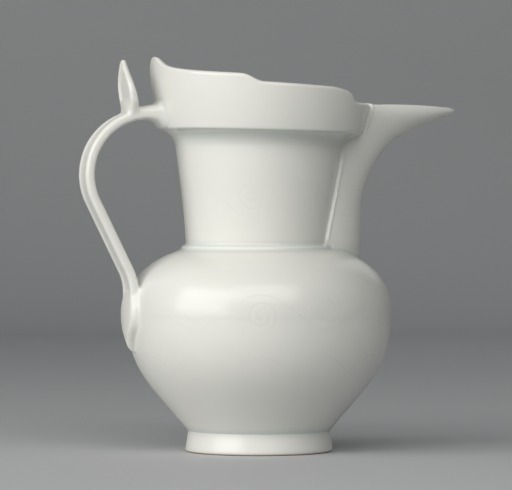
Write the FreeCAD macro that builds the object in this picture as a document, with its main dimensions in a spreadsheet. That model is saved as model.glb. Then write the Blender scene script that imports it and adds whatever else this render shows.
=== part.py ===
import FreeCAD, Part
import math
import os

import Sketcher
from FreeCAD import Placement, Rotation, Vector

# A porcelain ewer with a stepped, cap-shaped collar, an open duck-bill spout and a strap handle.
# Frame: +Z up, origin on the axis of the pot at the plane it stands on, spout towards +X.
# It is thrown and moulded in separate pieces that are luted together face to face.

# Driving dimensions, in millimetres and degrees
SIZES = {
    "foot_radius": (36.8, "foot, outer radius close above the ground"),
    "foot_waist_radius": (35.5, "foot, outer radius where the bowl sits on it"),
    "foot_height": (10.5, "foot, height from the ground to the bowl"),
    "foot_wall": (3.8, "foot, thickness of its wall under the bowl"),
    "foot_edge": (1.5, "foot, rounding of the lower outer edge"),
    "foot_rest": (1.7, "foot, width of the flat ring that it stands on"),
    "belly_radius": (66.0, "belly, widest outer radius, at the seam of its two halves"),
    "belly_height": (68.5, "belly, height of the seam above the ground"),
    "shoulder_height": (100.8, "shoulder, height of its flat top, where the neck is luted"),
    "bowl_steep": (30.5, "bowl, height above the foot of the pole that keeps its side steep"),
    "bowl_swell": (18.6, "bowl, how far its lower pole stands outside the foot"),
    "bowl_swell_rise": (22.6, "bowl, height of its lower pole above the foot"),
    "shoulder_steep": (11.8, "shoulder, depth under its top of the pole that keeps its side steep"),
    "shoulder_swell": (14.2, "shoulder, how far its upper pole stands outside the bead"),
    "shoulder_dip": (5.1, "shoulder, depth of its upper pole under its top"),
    "wall": (3.6, "wall of bowl and shoulder"),
    "base_thickness": (5.0, "floor of the bowl"),
    "neck_radius": (36.6, "neck, outer radius at its base"),
    "neck_flare": (5.3, "neck, growth of its radius up to the collar"),
    "neck_wall": (3.4, "neck, wall"),
    "neck_straight": (16.6, "neck, height of the pole that keeps its start upright"),
    "cove_height": (7.0, "neck, height of its soft turn outwards under the collar"),
    "cove_width": (7.4, "neck, width of that turn"),
    "neck_height": (58.7, "neck, height from the shoulder to the middle of the collar"),
    "bead_width": (2.3, "bead round the base of the neck, how far it stands out"),
    "bead_height": (2.6, "bead round the base of the neck, height"),
    "cap_radius": (51.3, "collar, outer radius at its lower edge"),
    "cap_flare": (5.6, "collar, growth of its radius up to the back peak"),
    "cap_wall": (3.4, "collar, wall"),
    "cap_rounding": (1.3, "collar, rounding of its lower outer edge"),
    "cap_peak": (36.4, "collar, height of the peak at the back"),
    "cap_peak_fall": (2.0, "collar, how far the peak's top falls from its outer to its inner edge"),
    "cap_high_step": (28.2, "collar, height of the long run behind the side step"),
    "cap_run_fall": (0.8, "collar, how far that run falls towards the side step"),
    "cap_low_step": (23.3, "collar, height of the run in front of the side step"),
    "cap_front": (15.1, "collar, height of its front ends and of the spout's rim"),
    "cap_side_step": (18.7, "collar, distance of the side step behind the axis"),
    "cap_front_step": (36.9, "collar, distance of the front step from the axis"),
    "cap_forward": (1.2, "collar, shift of its centre towards the spout"),
    "cap_lean": (1.4, "collar, lean towards the spout, degrees"),
    "ledge_thickness": (4.6, "ledge inside the collar that a lid rests on, thickness"),
    "ledge_bore": (37.4, "ledge inside the collar, inner radius"),
    "spout_reach": (103.9, "spout, distance of its tip from the axis"),
    "spout_bury": (6.8, "spout, how deep its root starts under the shoulder's top"),
    "spout_back": (16.6, "spout, how far its edges start inside the neck's outer face"),
    "spout_depth": (15.9, "spout, how far its lower part stands out from the neck"),
    "spout_root_width": (26.8, "spout, half width where it grows out of the shoulder"),
    "bill_width": (19.4, "spout, half width of the bill at the collar"),
    "spout_wall": (3.0, "spout, wall"),
    "spout_floor": (5.5, "spout, height of the channel's floor above the shoulder"),
    "rib_gap": (0.9, "raised rib round the spout's root, distance from the neck"),
    "rib_width": (1.7, "raised rib round the spout's root, width"),
    "rib_height": (0.9, "raised rib round the spout's root, height"),
    "handle_reach": (88.4, "handle, distance of the strap's middle line from the axis"),
    "handle_bend": (30.0, "handle, radius of the bend of its middle line"),
    "handle_rise": (8.6, "handle, height of its upper end above the collar's lower edge"),
    "handle_foot_bend": (24.0, "handle, radius of the turn down onto the belly"),
    "strap_width": (17.8, "handle, width of the strap"),
    "strap_thickness": (5.6, "handle, thickness of the strap"),
    "haunch_length": (6.5, "handle, length of the thickening under its upper end"),
    "haunch_drop": (4.6, "handle, how far that thickening reaches down the collar"),
    "strap_channel": (0.8, "handle, depth of the channel down its outer face"),
    "leaf_distance": (66.6, "thumb leaf, distance of its foot from the axis"),
    "leaf_height": (23.8, "thumb leaf, height above the strap"),
    "leaf_width": (12.1, "thumb leaf, half of its greatest width"),
    "leaf_thickness": (4.4, "thumb leaf, thickness at its foot"),
    "leaf_tip": (3.4, "thumb leaf, thickness at its tip"),
    "leaf_lean": (8.0, "thumb leaf, lean away from the pot, degrees"),
    "pad_top": (82.0, "leaf-shaped pad under the handle, height of its top edge"),
    "pad_tip": (50.0, "leaf-shaped pad under the handle, height of its tip"),
    "pad_width": (11.4, "leaf-shaped pad under the handle, half of its greatest width"),
    "pad_height": (3.5, "leaf-shaped pad under the handle, how far it stands out"),
}


# How far a cut or a cutting form reaches, well past the pot
THROUGH = 200.0
# The share of a quarter circle's radius at which its spline poles stand
ROUND = 0.5523
# The share of the collar's radius, behind the axis, from which the back peak rises
PEAK_START = 0.66


class Size:
    """A number together with the sheet expression that gives it."""

    def __init__(self, value, text):
        self.value = value
        self.text = text

    def __add__(self, other):
        return Size(self.value + size(other).value, f"({self.text} + {size(other).text})")

    def __sub__(self, other):
        return Size(self.value - size(other).value, f"({self.text} - {size(other).text})")

    def __mul__(self, other):
        return Size(self.value * size(other).value, f"({self.text} * {size(other).text})")

    def __truediv__(self, other):
        return Size(self.value / size(other).value, f"({self.text} / {size(other).text})")

    def __neg__(self):
        return Size(-self.value, f"(-1 * {self.text})")

    def __radd__(self, other):
        return size(other) + self

    def __rsub__(self, other):
        return size(other) - self

    __rmul__ = __mul__


def size(number):
    return number if isinstance(number, Size) else Size(float(number), f"({float(number)})")


def length_of(across, up):
    return Size(math.hypot(across.value, up.value), f"hypot({across.text}; {up.text})")


def angle_of(across, up):
    degrees = math.degrees(math.atan2(up.value, across.value))
    return Size(degrees, f"atan2({up.text}; {across.text})")


def tangent_angle(reach, distance):
    degrees = math.degrees(math.acos(reach.value / distance.value))
    return Size(degrees, f"acos({reach.text} / {distance.text})")


def cosine(angle):
    return Size(math.cos(math.radians(angle.value)), f"cos({angle.text})")


def sine(angle):
    return Size(math.sin(math.radians(angle.value)), f"sin({angle.text})")


doc = FreeCAD.newDocument("ewer")
sheet = doc.addObject("Spreadsheet::Sheet", "Sizes")
for row, (alias, (number, meaning)) in enumerate(SIZES.items(), start=1):
    sheet.set(f"A{row}", alias)
    sheet.set(f"B{row}", str(number))
    sheet.setAlias(f"B{row}", alias)
    sheet.set(f"C{row}", meaning)
doc.recompute()


def S(alias):
    return Size(SIZES[alias][0], f"Sizes.{alias}")


def body_named(name):
    body = doc.addObject("PartDesign::Body", name)
    body.Label = name
    return body


def new_sketch(body, name, role, offset=None):
    """A sketch on one of the body's own planes, moved by offset: (x, y, z, axis, angle)."""
    plane = next(f for f in body.Origin.OriginFeatures if f.Role == role)
    sketch = body.newObject("Sketcher::SketchObject", name)
    sketch.AttachmentSupport = [(plane, "")]
    sketch.MapMode = "FlatFace"
    if offset:
        x, y, z, axis, angle = [size(part) if index != 3 else part for index, part in enumerate(offset)]
        turn = Rotation(axis, angle.value)
        sketch.AttachmentOffset = Placement(Vector(x.value, y.value, z.value), turn)
        for path, part in (("Base.x", x), ("Base.y", y), ("Base.z", z), ("Rotation.Angle", angle)):
            sketch.setExpression(f".AttachmentOffset.{path}", part.text)
    return sketch


def pin(sketch, geometry, end, point):
    """Ties a point to the sketch's origin by two bound distances."""
    for kind, part in zip(("DistanceX", "DistanceY"), point):
        part = size(part)
        index = sketch.addConstraint(Sketcher.Constraint(kind, -1, 1, geometry, end, part.value))
        sketch.setExpression(f"Constraints[{index}]", part.text)


def at(point):
    return Vector(size(point[0]).value, size(point[1]).value, 0)


def add_line(sketch, start, end):
    return sketch.addGeometry(Part.LineSegment(at(start), at(end)))


def add_curve(sketch, poles, free_start):
    """A cubic spline whose poles are pinned one by one, the first only if free_start."""
    spans = len(poles) - 3
    knots = [float(step) for step in range(spans + 1)]
    spline = Part.BSplineCurve()
    spline.buildFromPolesMultsKnots(
        [at(pole) for pole in poles], [4] + [1] * (spans - 1) + [4], knots, False, 3
    )
    curve = sketch.addGeometry(spline)
    for index, pole in enumerate(poles):
        circle = sketch.addGeometry(Part.Circle(at(pole), Vector(0, 0, 1), 1.0), True)
        sketch.addConstraint(
            Sketcher.Constraint("InternalAlignment:Sketcher::BSplineControlPoint", circle, 3, curve, index)
        )
        sketch.addConstraint(Sketcher.Constraint("Weight", circle, 1.0))
        if index or free_start:
            pin(sketch, circle, 3, pole)
    return curve


def draw_outline(sketch, pieces):
    """A closed outline. Each piece is a list of points: two make a line, four or more a spline."""
    drawn = []
    for number, points in enumerate(pieces):
        after_line = len(pieces[number - 1]) == 2
        if len(points) > 2:
            drawn.append(add_curve(sketch, points, after_line))
        else:
            drawn.append(add_line(sketch, *points))
            if after_line:
                pin(sketch, drawn[-1], 1, points[0])
    for first, second in zip(drawn, drawn[1:] + drawn[:1]):
        sketch.addConstraint(Sketcher.Constraint("Coincident", first, 2, second, 1))


def joined(*points):
    """Straight pieces from point to point."""
    return [list(pair) for pair in zip(points, points[1:])]


def revolve(name, pieces):
    """A body turned about the Z axis from an outline of (radius, height) points."""
    body = body_named(name)
    sketch = new_sketch(body, name + "_profile", "XZ_Plane")
    draw_outline(sketch, pieces)
    turned = body.newObject("PartDesign::Revolution", name + "_turned")
    turned.Profile = sketch
    turned.ReferenceAxis = (sketch, ["V_Axis"])
    turned.Angle = 360.0
    return body


def cut_through(body, name, role, pieces, offset=None):
    """Cuts an outline out of a body: both ways from its plane, or backwards from an offset one."""
    sketch = new_sketch(body, name + "_outline", role, offset)
    draw_outline(sketch, pieces)
    doc.recompute()
    before = body.Shape.Volume
    pocket = body.newObject("PartDesign::Pocket", name)
    pocket.Profile = sketch
    pocket.Length = THROUGH
    pocket.Midplane = offset is None
    doc.recompute()
    if body.Shape.Volume > before - 1.0:
        raise RuntimeError(f"{name} cuts nothing")


def minus(name, base, tool):
    cut = doc.addObject("Part::Cut", name)
    cut.Base = base
    cut.Tool = tool
    cut.Label = name
    return cut


def joint_form(name, first, second):
    fused = doc.addObject("Part::Fuse", name)
    fused.Base = first
    fused.Tool = second
    return fused


def shared(name, first, second):
    common = doc.addObject("Part::Common", name)
    common.Base = first
    common.Tool = second
    return common


# Curves of the outer surface, each as poles of (radius, height); grow moves a curve outwards

def bowl_curve(grow=0.0):
    """From the seam down to the foot."""
    return [
        (S("belly_radius") + grow, S("belly_height")),
        (S("belly_radius") + grow, S("foot_height") + S("bowl_steep")),
        (
            S("foot_waist_radius") + S("bowl_swell") + 0.79 * grow,
            S("foot_height") + S("bowl_swell_rise") - 0.61 * grow,
        ),
        (S("foot_waist_radius") + 0.7 * grow, S("foot_height") - 0.7 * grow),
    ]


def shoulder_curve(grow=0.0):
    """From the seam up to the flat top where the neck stands."""
    edge = S("neck_radius") + S("bead_width")
    return [
        (S("belly_radius") + grow, S("belly_height")),
        (S("belly_radius") + grow, S("shoulder_height") - S("shoulder_steep")),
        (
            edge + S("shoulder_swell") + 0.6 * grow,
            S("shoulder_height") - S("shoulder_dip") + 0.8 * grow,
        ),
        (edge + 0.35 * grow, S("shoulder_height") + 0.94 * grow),
    ]


cap_base = S("shoulder_height") + S("neck_height")
neck_top_radius = S("neck_radius") + S("neck_flare")


def neck_curve(grow=0.0):
    """From the bead up to just under the collar."""
    bead_top = S("shoulder_height") + S("bead_height")
    return [
        (S("neck_radius") + grow, bead_top + grow),
        (S("neck_radius") + 0.7 + grow, bead_top + S("neck_straight")),
        (neck_top_radius - 1.6 + grow, cap_base - S("cove_height") - 12.5),
        (neck_top_radius + grow, cap_base - S("cove_height")),
    ]


def cove_curve(grow=0.0):
    """The soft turn outwards from the neck under the collar."""
    return [
        (neck_top_radius + grow, cap_base - S("cove_height")),
        (neck_top_radius + 0.12 * S("cove_width") + grow, cap_base - 0.54 * S("cove_height")),
        (neck_top_radius + 0.36 * S("cove_width") + grow, cap_base - 0.21 * S("cove_height") - grow),
        (neck_top_radius + S("cove_width") + grow, cap_base - grow),
    ]


def cap_curve():
    """The collar's outer face in its own frame, upwards from its rounded edge."""
    return [
        (S("cap_radius"), S("cap_rounding")),
        (S("cap_radius") + 0.36 * S("cap_flare"), S("cap_peak") * 0.25),
        (S("cap_radius") + 0.90 * S("cap_flare"), S("cap_peak") * 0.58),
        (S("cap_radius") + S("cap_flare"), S("cap_peak") + 2.0),
    ]


def place_cap(body):
    """Sets a body on the neck with the collar's shift and lean."""
    body.Placement = Placement(
        Vector(SIZES["cap_forward"][0], 0, cap_base.value), Rotation(Vector(0, 1, 0), SIZES["cap_lean"][0])
    )
    body.setExpression(".Placement.Base.x", S("cap_forward").text)
    body.setExpression(".Placement.Base.z", cap_base.text)
    body.setExpression(".Placement.Rotation.Angle", S("cap_lean").text)


def cap_point(across, up):
    """A point of the collar's own frame, as (x, z) of the whole pot."""
    lean = S("cap_lean")
    return (
        S("cap_forward") + size(across) * cosine(lean) + size(up) * sine(lean),
        cap_base - size(across) * sine(lean) + size(up) * cosine(lean),
    )


def trim_to_cap(body, name):
    """Cuts a neck off at the leaning plane that the collar sits on."""
    back, front = cap_point(-80.0, 0.0), cap_point(80.0, 0.0)
    top = cap_base + 40.0
    cut_through(body, name, "XZ_Plane", joined(back, front, (front[0], top), (back[0], top), back))


# The foot ring: splayed outside, hollow inside, rounded where it meets the table

def make_foot_ring():
    outer, waist, height = S("foot_radius"), S("foot_waist_radius"), S("foot_height")
    edge, rest = S("foot_edge"), S("foot_rest")
    inner_top = waist - S("foot_wall")
    inner_foot = outer - edge - rest - 0.8
    profile = [
        [(waist, height), (waist + 0.2, height - 3.5), (outer - 0.3, height * 0.4), (outer, edge)],
        [(outer, edge), (outer, edge * 0.45), (outer - edge * 0.55, size(0)), (outer - edge, size(0))],
        [(outer - edge, size(0)), (outer - edge - rest, size(0))],
        [(outer - edge - rest, size(0)), (inner_foot, size(0.8))],
        [(inner_foot, size(0.8)), (inner_top, height)],
        [(inner_top, height), (waist, height)],
    ]
    return revolve("foot_ring", profile)


# The two halves of the belly, thrown as bowls and luted rim to rim

def make_lower_body():
    wall, floor = S("wall"), S("foot_height") + S("base_thickness")
    seam, flare, dip, foot = bowl_curve()[0], bowl_curve()[1], bowl_curve()[2], bowl_curve()[3]
    inner_corner = (S("foot_waist_radius") - 2.6, floor + 0.6)
    profile = [
        [seam, flare, dip, foot],
        [foot, (size(0), S("foot_height"))],
        [(size(0), S("foot_height")), (size(0), floor)],
        [(size(0), floor), inner_corner],
        [
            inner_corner,
            (dip[0] - 0.79 * wall, dip[1] + 0.61 * wall),
            (flare[0] - wall, flare[1]),
            (seam[0] - wall, seam[1]),
        ],
        [(seam[0] - wall, seam[1]), seam],
    ]
    return revolve("lower_body", profile)


def make_upper_body():
    wall, bore = S("wall"), S("neck_radius") - S("neck_wall")
    seam, rise, dome, edge = shoulder_curve()
    profile = [
        [seam, rise, dome, edge],
        [edge, (bore, edge[1])],
        [(bore, edge[1]), (bore, edge[1] - wall)],
        [
            (bore, edge[1] - wall),
            (dome[0] - 0.6 * wall, dome[1] - 0.8 * wall),
            (rise[0] - wall, rise[1]),
            (seam[0] - wall, seam[1]),
        ],
        [(seam[0] - wall, seam[1]), seam],
    ]
    return revolve("upper_body", profile)


# The bead on the shoulder round the foot of the neck

def make_neck_ring():
    inner, low = S("neck_radius"), S("shoulder_height")
    outer, high = inner + S("bead_width"), low + S("bead_height")
    profile = [
        [(inner, low), (outer, low)],
        [(outer, low), (outer + 0.3, high - 0.9), (outer - 0.6, high), (inner, high)],
        [(inner, high), (inner, low)],
    ]
    return revolve("neck_ring", profile)


def neck_outline(inner_side):
    """Outer side of the neck from the shoulder to above the collar's plane, closed by inner_side."""
    low, bead_top = S("shoulder_height"), S("shoulder_height") + S("bead_height")
    lip = (cove_curve()[3][0], cap_base + 3.0)
    outer_side = [
        [(S("neck_radius"), low), (S("neck_radius"), bead_top)],
        neck_curve(),
        cove_curve(),
        [cove_curve()[3], lip],
    ]
    return outer_side + inner_side(lip, low)


def make_neck():
    def bore_side(lip, low):
        wall = S("neck_wall")
        bead_top = S("shoulder_height") + S("bead_height")
        top = (neck_top_radius - wall, cap_base + 3.0)
        foot, swell, waist, _ = neck_curve()
        return [
            [lip, top],
            [
                top,
                (waist[0] - wall + 1.2, waist[1] + 6.0),
                (swell[0] - wall, swell[1]),
                (foot[0] - wall, bead_top),
            ],
            [(foot[0] - wall, bead_top), (foot[0] - wall, low)],
            [(foot[0] - wall, low), (foot[0], low)],
        ]

    body = revolve("neck_tube", neck_outline(bore_side))
    trim_to_cap(body, "neck_tube_top")
    return body


# Solid forms of the vessel, used to cut the pieces that are luted onto it

def make_vessel_form():
    """Belly, bead and neck, filled, up to the collar's plane."""
    seam, low = bowl_curve()[0], S("shoulder_height")
    bead_edge = (S("neck_radius") + S("bead_width"), low)
    bead_top = low + S("bead_height")
    profile = [
        shoulder_curve(),
        [
            bead_edge,
            (bead_edge[0] + 0.3, bead_top - 0.9),
            (bead_edge[0] - 0.6, bead_top),
            (S("neck_radius"), bead_top),
        ],
        neck_curve(),
        cove_curve(),
        [cove_curve()[3], (cove_curve()[3][0], cap_base + 3.0)],
        [(cove_curve()[3][0], cap_base + 3.0), (size(0), cap_base + 3.0)],
        [(size(0), cap_base + 3.0), (size(0), S("foot_height"))],
        [(size(0), S("foot_height")), bowl_curve()[3]],
        list(reversed(bowl_curve())),
    ]
    body = revolve("vessel_form", profile)
    trim_to_cap(body, "vessel_form_top")
    return body


def make_mouth_form():
    """The space inside the collar: the ledge's bore and the room above the ledge."""
    wall, bore, ledge = S("cap_wall"), S("ledge_bore"), S("ledge_thickness")
    low, swell, waist, head = cap_curve()
    top = head[1] + 2.0
    profile = [
        [(size(0), size(0)), (bore, size(0))],
        [(bore, size(0)), (bore, ledge)],
        [(bore, ledge), (low[0] - wall + 0.3, ledge)],
        [
            (low[0] - wall + 0.3, ledge),
            (swell[0] - wall, swell[1] + 1.0),
            (waist[0] - wall, waist[1]),
            (head[0] - wall, head[1]),
        ],
        [(head[0] - wall, head[1]), (head[0] - wall, top)],
        [(head[0] - wall, top), (size(0), top)],
        [(size(0), top), (size(0), size(0))],
    ]
    body = revolve("mouth_form", profile)
    place_cap(body)
    return body


def cap_profile(inner_side):
    """The collar's outline from its lower edge up to its top, closed by inner_side."""
    low, head, rounding = cap_curve()[0], cap_curve()[3], S("cap_rounding")
    edge = low[0] - rounding
    lower_edge = [(edge, size(0)), (edge + 0.55 * rounding, size(0)), (low[0], 0.45 * rounding), low]
    return [lower_edge, cap_curve()] + inner_side(head, edge)


def make_cap_form():
    def filled(head, edge):
        return joined(head, (size(0), head[1]), (size(0), size(0)), (edge, size(0)))

    body = revolve("cap_form", cap_profile(filled))
    place_cap(body)
    return body


# The collar: a flared band with a ledge inside, its top cut in steps down to the spout

def crown_side_outline(top):
    """The steps seen from the side, from the middle of the back run to past the front."""
    high, low, front = S("cap_high_step"), S("cap_low_step"), S("cap_front")
    back, end = -(PEAK_START * S("cap_radius")), S("cap_radius") + 20.0
    step, drop = -S("cap_side_step"), S("cap_front_step")
    run_end = high - S("cap_run_fall")
    return [
        [(back, high), (step - 7.0, run_end)],
        [(step - 7.0, run_end), (step - 1.5, run_end), (step, low + 0.2), (step + 5.5, low + 0.2)],
        [(step + 5.5, low + 0.2), (drop - 14.0, low - 1.0)],
        [
            (drop - 14.0, low - 1.0),
            (drop - 7.0, low - 1.8),
            (drop - 1.0, low - 3.2),
            (drop - 2.2, front + 0.6),
            (drop + 1.2, front),
            (drop + 6.5, front),
        ],
        [(drop + 6.5, front), (end, front)],
        [(end, front), (end, top)],
        [(end, top), (back, top)],
        [(back, top), (back, high)],
    ]


def crown_back_outline(top):
    """The peak seen from behind, from one side to the other."""
    peak, high, side = S("cap_peak"), S("cap_high_step"), S("cap_radius") + 10.0
    shoulder = 0.82 * S("cap_radius")
    right = [
        (size(0), peak),
        (size(2.5), peak),
        (size(6.0), high + 0.90 * (peak - high)),
        (size(11.0), high + 0.52 * (peak - high)),
        (size(19.0), high + 0.28 * (peak - high)),
        (size(29.0), high + 0.13 * (peak - high)),
        (shoulder, high),
    ]
    left = [(-across, up) for across, up in reversed(right)]
    return [
        left,
        right,
        [(shoulder, high), (side, high)],
        [(side, high), (side, top)],
        [(side, top), (-side, top)],
        [(-side, top), (-side, high)],
        [(-side, high), (-shoulder, high)],
    ]


def crown_tip_outline(top):
    """The peak's top seen from the side, which falls towards the mouth."""
    peak, high, outer = S("cap_peak"), S("cap_high_step"), -(S("cap_radius") + S("cap_flare"))
    inner, back = outer + S("cap_wall"), -(PEAK_START * S("cap_radius"))
    inner_edge = (inner, peak - S("cap_peak_fall"))
    return joined((outer, peak), inner_edge, (back, high), (back, top), (outer, top), (outer, peak))


def make_cap_band():
    wall, bore, ledge = S("cap_wall"), S("ledge_bore"), S("ledge_thickness")

    def hollow(head, edge):
        low, swell, waist, _ = cap_curve()
        return [
            [head, (head[0] - wall, head[1])],
            [
                (head[0] - wall, head[1]),
                (waist[0] - wall, waist[1]),
                (swell[0] - wall, swell[1] + 1.0),
                (low[0] - wall + 0.3, ledge),
            ],
            [(low[0] - wall + 0.3, ledge), (bore, ledge)],
            [(bore, ledge), (bore, size(0))],
            [(bore, size(0)), (edge, size(0))],
        ]

    body = revolve("cap_band", cap_profile(hollow))
    top = S("cap_peak") + 12.0
    cut_through(body, "cap_band_steps", "XZ_Plane", crown_side_outline(top))
    behind = (0.0, 0.0, -(PEAK_START * S("cap_radius")), Vector(0, 0, 1), 0.0)
    cut_through(body, "cap_band_peak", "YZ_Plane", crown_back_outline(top), behind)
    cut_through(body, "cap_band_tip", "XZ_Plane", crown_tip_outline(top))
    place_cap(body)
    return body


# The spout: a gutter that grows out of the shoulder, climbs the neck and opens into a bill.
# Each station is a half ellipse from an edge point inside the pot, or on the rim, to the keel.
# Columns: edge point and keel point as shares of reach and height, then shares of the two widths.
STATIONS = [
    (0.000, 0.000, -0.016, 0.000, 1.00, 0.00),
    (0.000, 0.151, -0.002, 0.151, 0.93, 0.07),
    (0.000, 0.327, 0.006, 0.327, 0.72, 0.28),
    (0.000, 0.504, 0.060, 0.504, 0.50, 0.50),
    (0.000, 0.680, 0.171, 0.649, 0.30, 0.70),
    (0.037, 0.844, 0.286, 0.743, 0.16, 0.84),
    (0.196, 0.970, 0.430, 0.806, 0.00, 1.00),
    (0.440, 0.997, 0.637, 0.869, 0.00, 0.865),
    (0.660, 0.995, 0.796, 0.908, 0.00, 0.675),
    (0.831, 0.991, 0.915, 0.935, 0.00, 0.46),
    (0.935, 0.987, 0.977, 0.952, 0.00, 0.28),
    (0.972, 0.986, 1.000, 0.966, 0.00, 0.17),
]


def spout_frame():
    """Heights and distances that the stations' shares are measured along."""
    foot = S("shoulder_height") - S("spout_bury")
    rim = cap_point(S("cap_radius"), S("cap_front"))[1]
    rear = S("neck_radius") - S("spout_back")
    nose = S("neck_radius") + S("spout_depth")
    return foot, rim, rear, nose


def gutter(body, number, station, grow, above):
    """One station's closed sketch, its half ellipse grown by grow and its sides run up by above."""
    edge_x, edge_z, keel_x, keel_z, root_share, bill_share = station
    foot, rim, rear, nose = spout_frame()
    top = (rear + edge_x * (S("spout_reach") - rear), foot + edge_z * (rim - foot))
    keel = (nose + keel_x * (S("spout_reach") - nose), foot + keel_z * (rim - foot))
    across, down = keel[0] - top[0], top[1] - keel[1]
    depth = length_of(across, down) + grow
    width = root_share * S("spout_root_width") + bill_share * S("bill_width") + grow
    sketch = new_sketch(
        body,
        f"{body.Name}_station_{number}",
        "XY_Plane",
        (top[0], 0.0, top[1], Vector(0, 1, 0), angle_of(across, down)),
    )
    high = size(-above)
    draw_outline(
        sketch,
        [
            [(size(0), -width), (depth * ROUND, -width), (depth, -(width * ROUND)), (depth, size(0))],
            [(depth, size(0)), (depth, width * ROUND), (depth * ROUND, width), (size(0), width)],
            [(size(0), width), (high, width)],
            [(high, width), (high, -width)],
            [(high, -width), (size(0), -width)],
        ],
    )
    return sketch


def loft_spout(name, stations, grow, above):
    body = body_named(name)
    sketches = [gutter(body, number, station, grow, above) for number, station in enumerate(stations)]
    loft = body.newObject("PartDesign::AdditiveLoft", name + "_loft")
    loft.Profile = sketches[0]
    loft.Sections = sketches[1:]
    loft.Ruled = False
    doc.recompute()
    return body


def trim_rim(body, name):
    """Cuts the bill's rim level with the collar's front ends and lets the tip fall a little."""
    front = S("cap_front")
    start = cap_point(0.25 * S("cap_radius"), front)
    level_end = cap_point(S("spout_reach") - 11.0, front)
    tip = (S("spout_reach") + 1.0, level_end[1] - 2.6)
    top = cap_base + 60.0
    fall = [level_end, (level_end[0] + 5.0, level_end[1] - 0.1), (tip[0] - 3.0, level_end[1] - 0.5), tip]
    outline = [[start, level_end], fall] + joined(tip, (tip[0], top), (start[0], top), start)
    cut_through(body, name, "XZ_Plane", outline)


def channel_stations():
    """The hollow's stations: from the channel's floor up and out to just behind the tip."""
    foot, rim, _, _ = spout_frame()
    floor = (S("spout_bury") + S("spout_floor")) / (rim - foot)
    first = STATIONS[1]
    return [(first[0], floor, first[2], floor) + first[4:]] + STATIONS[2:11]


def make_rib_band():
    """A thin shell that follows shoulder and neck up to the collar at the rib's distance."""
    near, far = S("rib_gap"), S("rib_gap") + S("rib_width")
    front_drop = S("cap_radius") * sine(S("cap_lean"))

    def side(grow):
        shoulder, neck, cove = shoulder_curve(grow), neck_curve(grow), cove_curve(grow)
        return [
            shoulder,
            [shoulder[3], neck[0]],
            neck,
            [
                neck[3],
                (cove[1][0], cove[1][1] - front_drop),
                (cove[2][0], cove[2][1] - front_drop),
                (cove[3][0], cove[3][1] - front_drop),
            ],
        ]

    inner, outer = side(near), side(far)
    back = [list(reversed(piece)) for piece in reversed(inner)]
    profile = outer + [[outer[-1][-1], back[0][0]]] + back + [[back[-1][-1], outer[0][0]]]
    return revolve("rib_band", profile)


# The strap handle: a flat strap with a shallow channel, swept along one bend and a straight run

def handle_line():
    """The middle line's start, its two bend centres, its points of touch and its end."""
    radius, foot_radius = S("handle_bend"), S("handle_foot_bend")
    level = cap_base + S("handle_rise")
    start = (-(S("cap_radius") - 6.0), level)
    centre = (-(S("handle_reach") - radius), level - radius)
    end = (-S("belly_radius"), S("pad_top") - 2.0)
    foot_centre = (end[0] - foot_radius, end[1])
    across, up = foot_centre[0] - centre[0], foot_centre[1] - centre[1]
    turn = angle_of(across, up) - tangent_angle(radius + foot_radius, length_of(across, up))
    leave = (centre[0] + radius * cosine(turn), centre[1] + radius * sine(turn))
    arrive = (foot_centre[0] - foot_radius * cosine(turn), foot_centre[1] - foot_radius * sine(turn))
    return start, centre, leave, arrive, foot_centre, end


def add_arc(sketch, centre, start, end, radius, backwards=False):
    """An arc with its centre pinned and its radius bound, anticlockwise unless backwards."""
    first, last = (end, start) if backwards else (start, end)
    angles = [
        math.atan2(point[1].value - centre[1].value, point[0].value - centre[0].value)
        for point in (first, last)
    ]
    if angles[1] < angles[0]:
        angles[1] += 2 * math.pi
    circle = Part.Circle(at(centre), Vector(0, 0, 1), radius.value)
    arc = sketch.addGeometry(Part.ArcOfCircle(circle, *angles))
    pin(sketch, arc, 3, centre)
    index = sketch.addConstraint(Sketcher.Constraint("Radius", arc, radius.value))
    sketch.setExpression(f"Constraints[{index}]", radius.text)
    return arc


def make_strap():
    body = body_named("strap")
    start, centre, leave, arrive, foot_centre, end = handle_line()
    path = new_sketch(body, "strap_path", "XZ_Plane")
    bend_start = (centre[0], start[1])
    level = add_line(path, start, bend_start)
    bend = add_arc(path, centre, bend_start, leave, S("handle_bend"))
    run = add_line(path, leave, arrive)
    foot = add_arc(path, foot_centre, arrive, end, S("handle_foot_bend"), backwards=True)
    path.addConstraint(Sketcher.Constraint("Tangent", level, 2, bend, 1))
    path.addConstraint(Sketcher.Constraint("Tangent", bend, 2, run, 1))
    path.addConstraint(Sketcher.Constraint("Tangent", run, 2, foot, 2))
    pin(path, level, 1, start)
    height = path.addConstraint(Sketcher.Constraint("DistanceY", -1, 1, foot, 1, end[1].value))
    path.setExpression(f"Constraints[{height}]", end[1].text)

    half, thick, dip = S("strap_width") * 0.5, S("strap_thickness") * 0.5, S("strap_channel")
    lip = half - 3.4
    section = new_sketch(
        body, "strap_section", "YZ_Plane", (0.0, start[1], start[0], Vector(0, 0, 1), 0.0)
    )
    corner = thick * 0.9
    draw_outline(
        section,
        [
            [(-lip, thick), (-(lip - 1.6), thick), (-(lip - 2.4), thick - dip), (size(0), thick - dip)],
            [(size(0), thick - dip), (lip - 2.4, thick - dip), (lip - 1.6, thick), (lip, thick)],
            [(lip, thick), (half - 1.2, thick), (half, corner), (half, size(0))],
            [(half, size(0)), (half, -corner), (half - 1.2, -thick), (half - 3.4, -thick)],
            [(half - 3.4, -thick), (-(half - 3.4), -thick)],
            [(-(half - 3.4), -thick), (-(half - 1.2), -thick), (-half, -corner), (-half, size(0))],
            [(-half, size(0)), (-half, corner), (-(half - 1.2), thick), (-lip, thick)],
        ],
    )
    sweep = body.newObject("PartDesign::AdditivePipe", "strap_sweep")
    sweep.Profile = section
    sweep.Spine = path
    doc.recompute()
    return body


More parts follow.
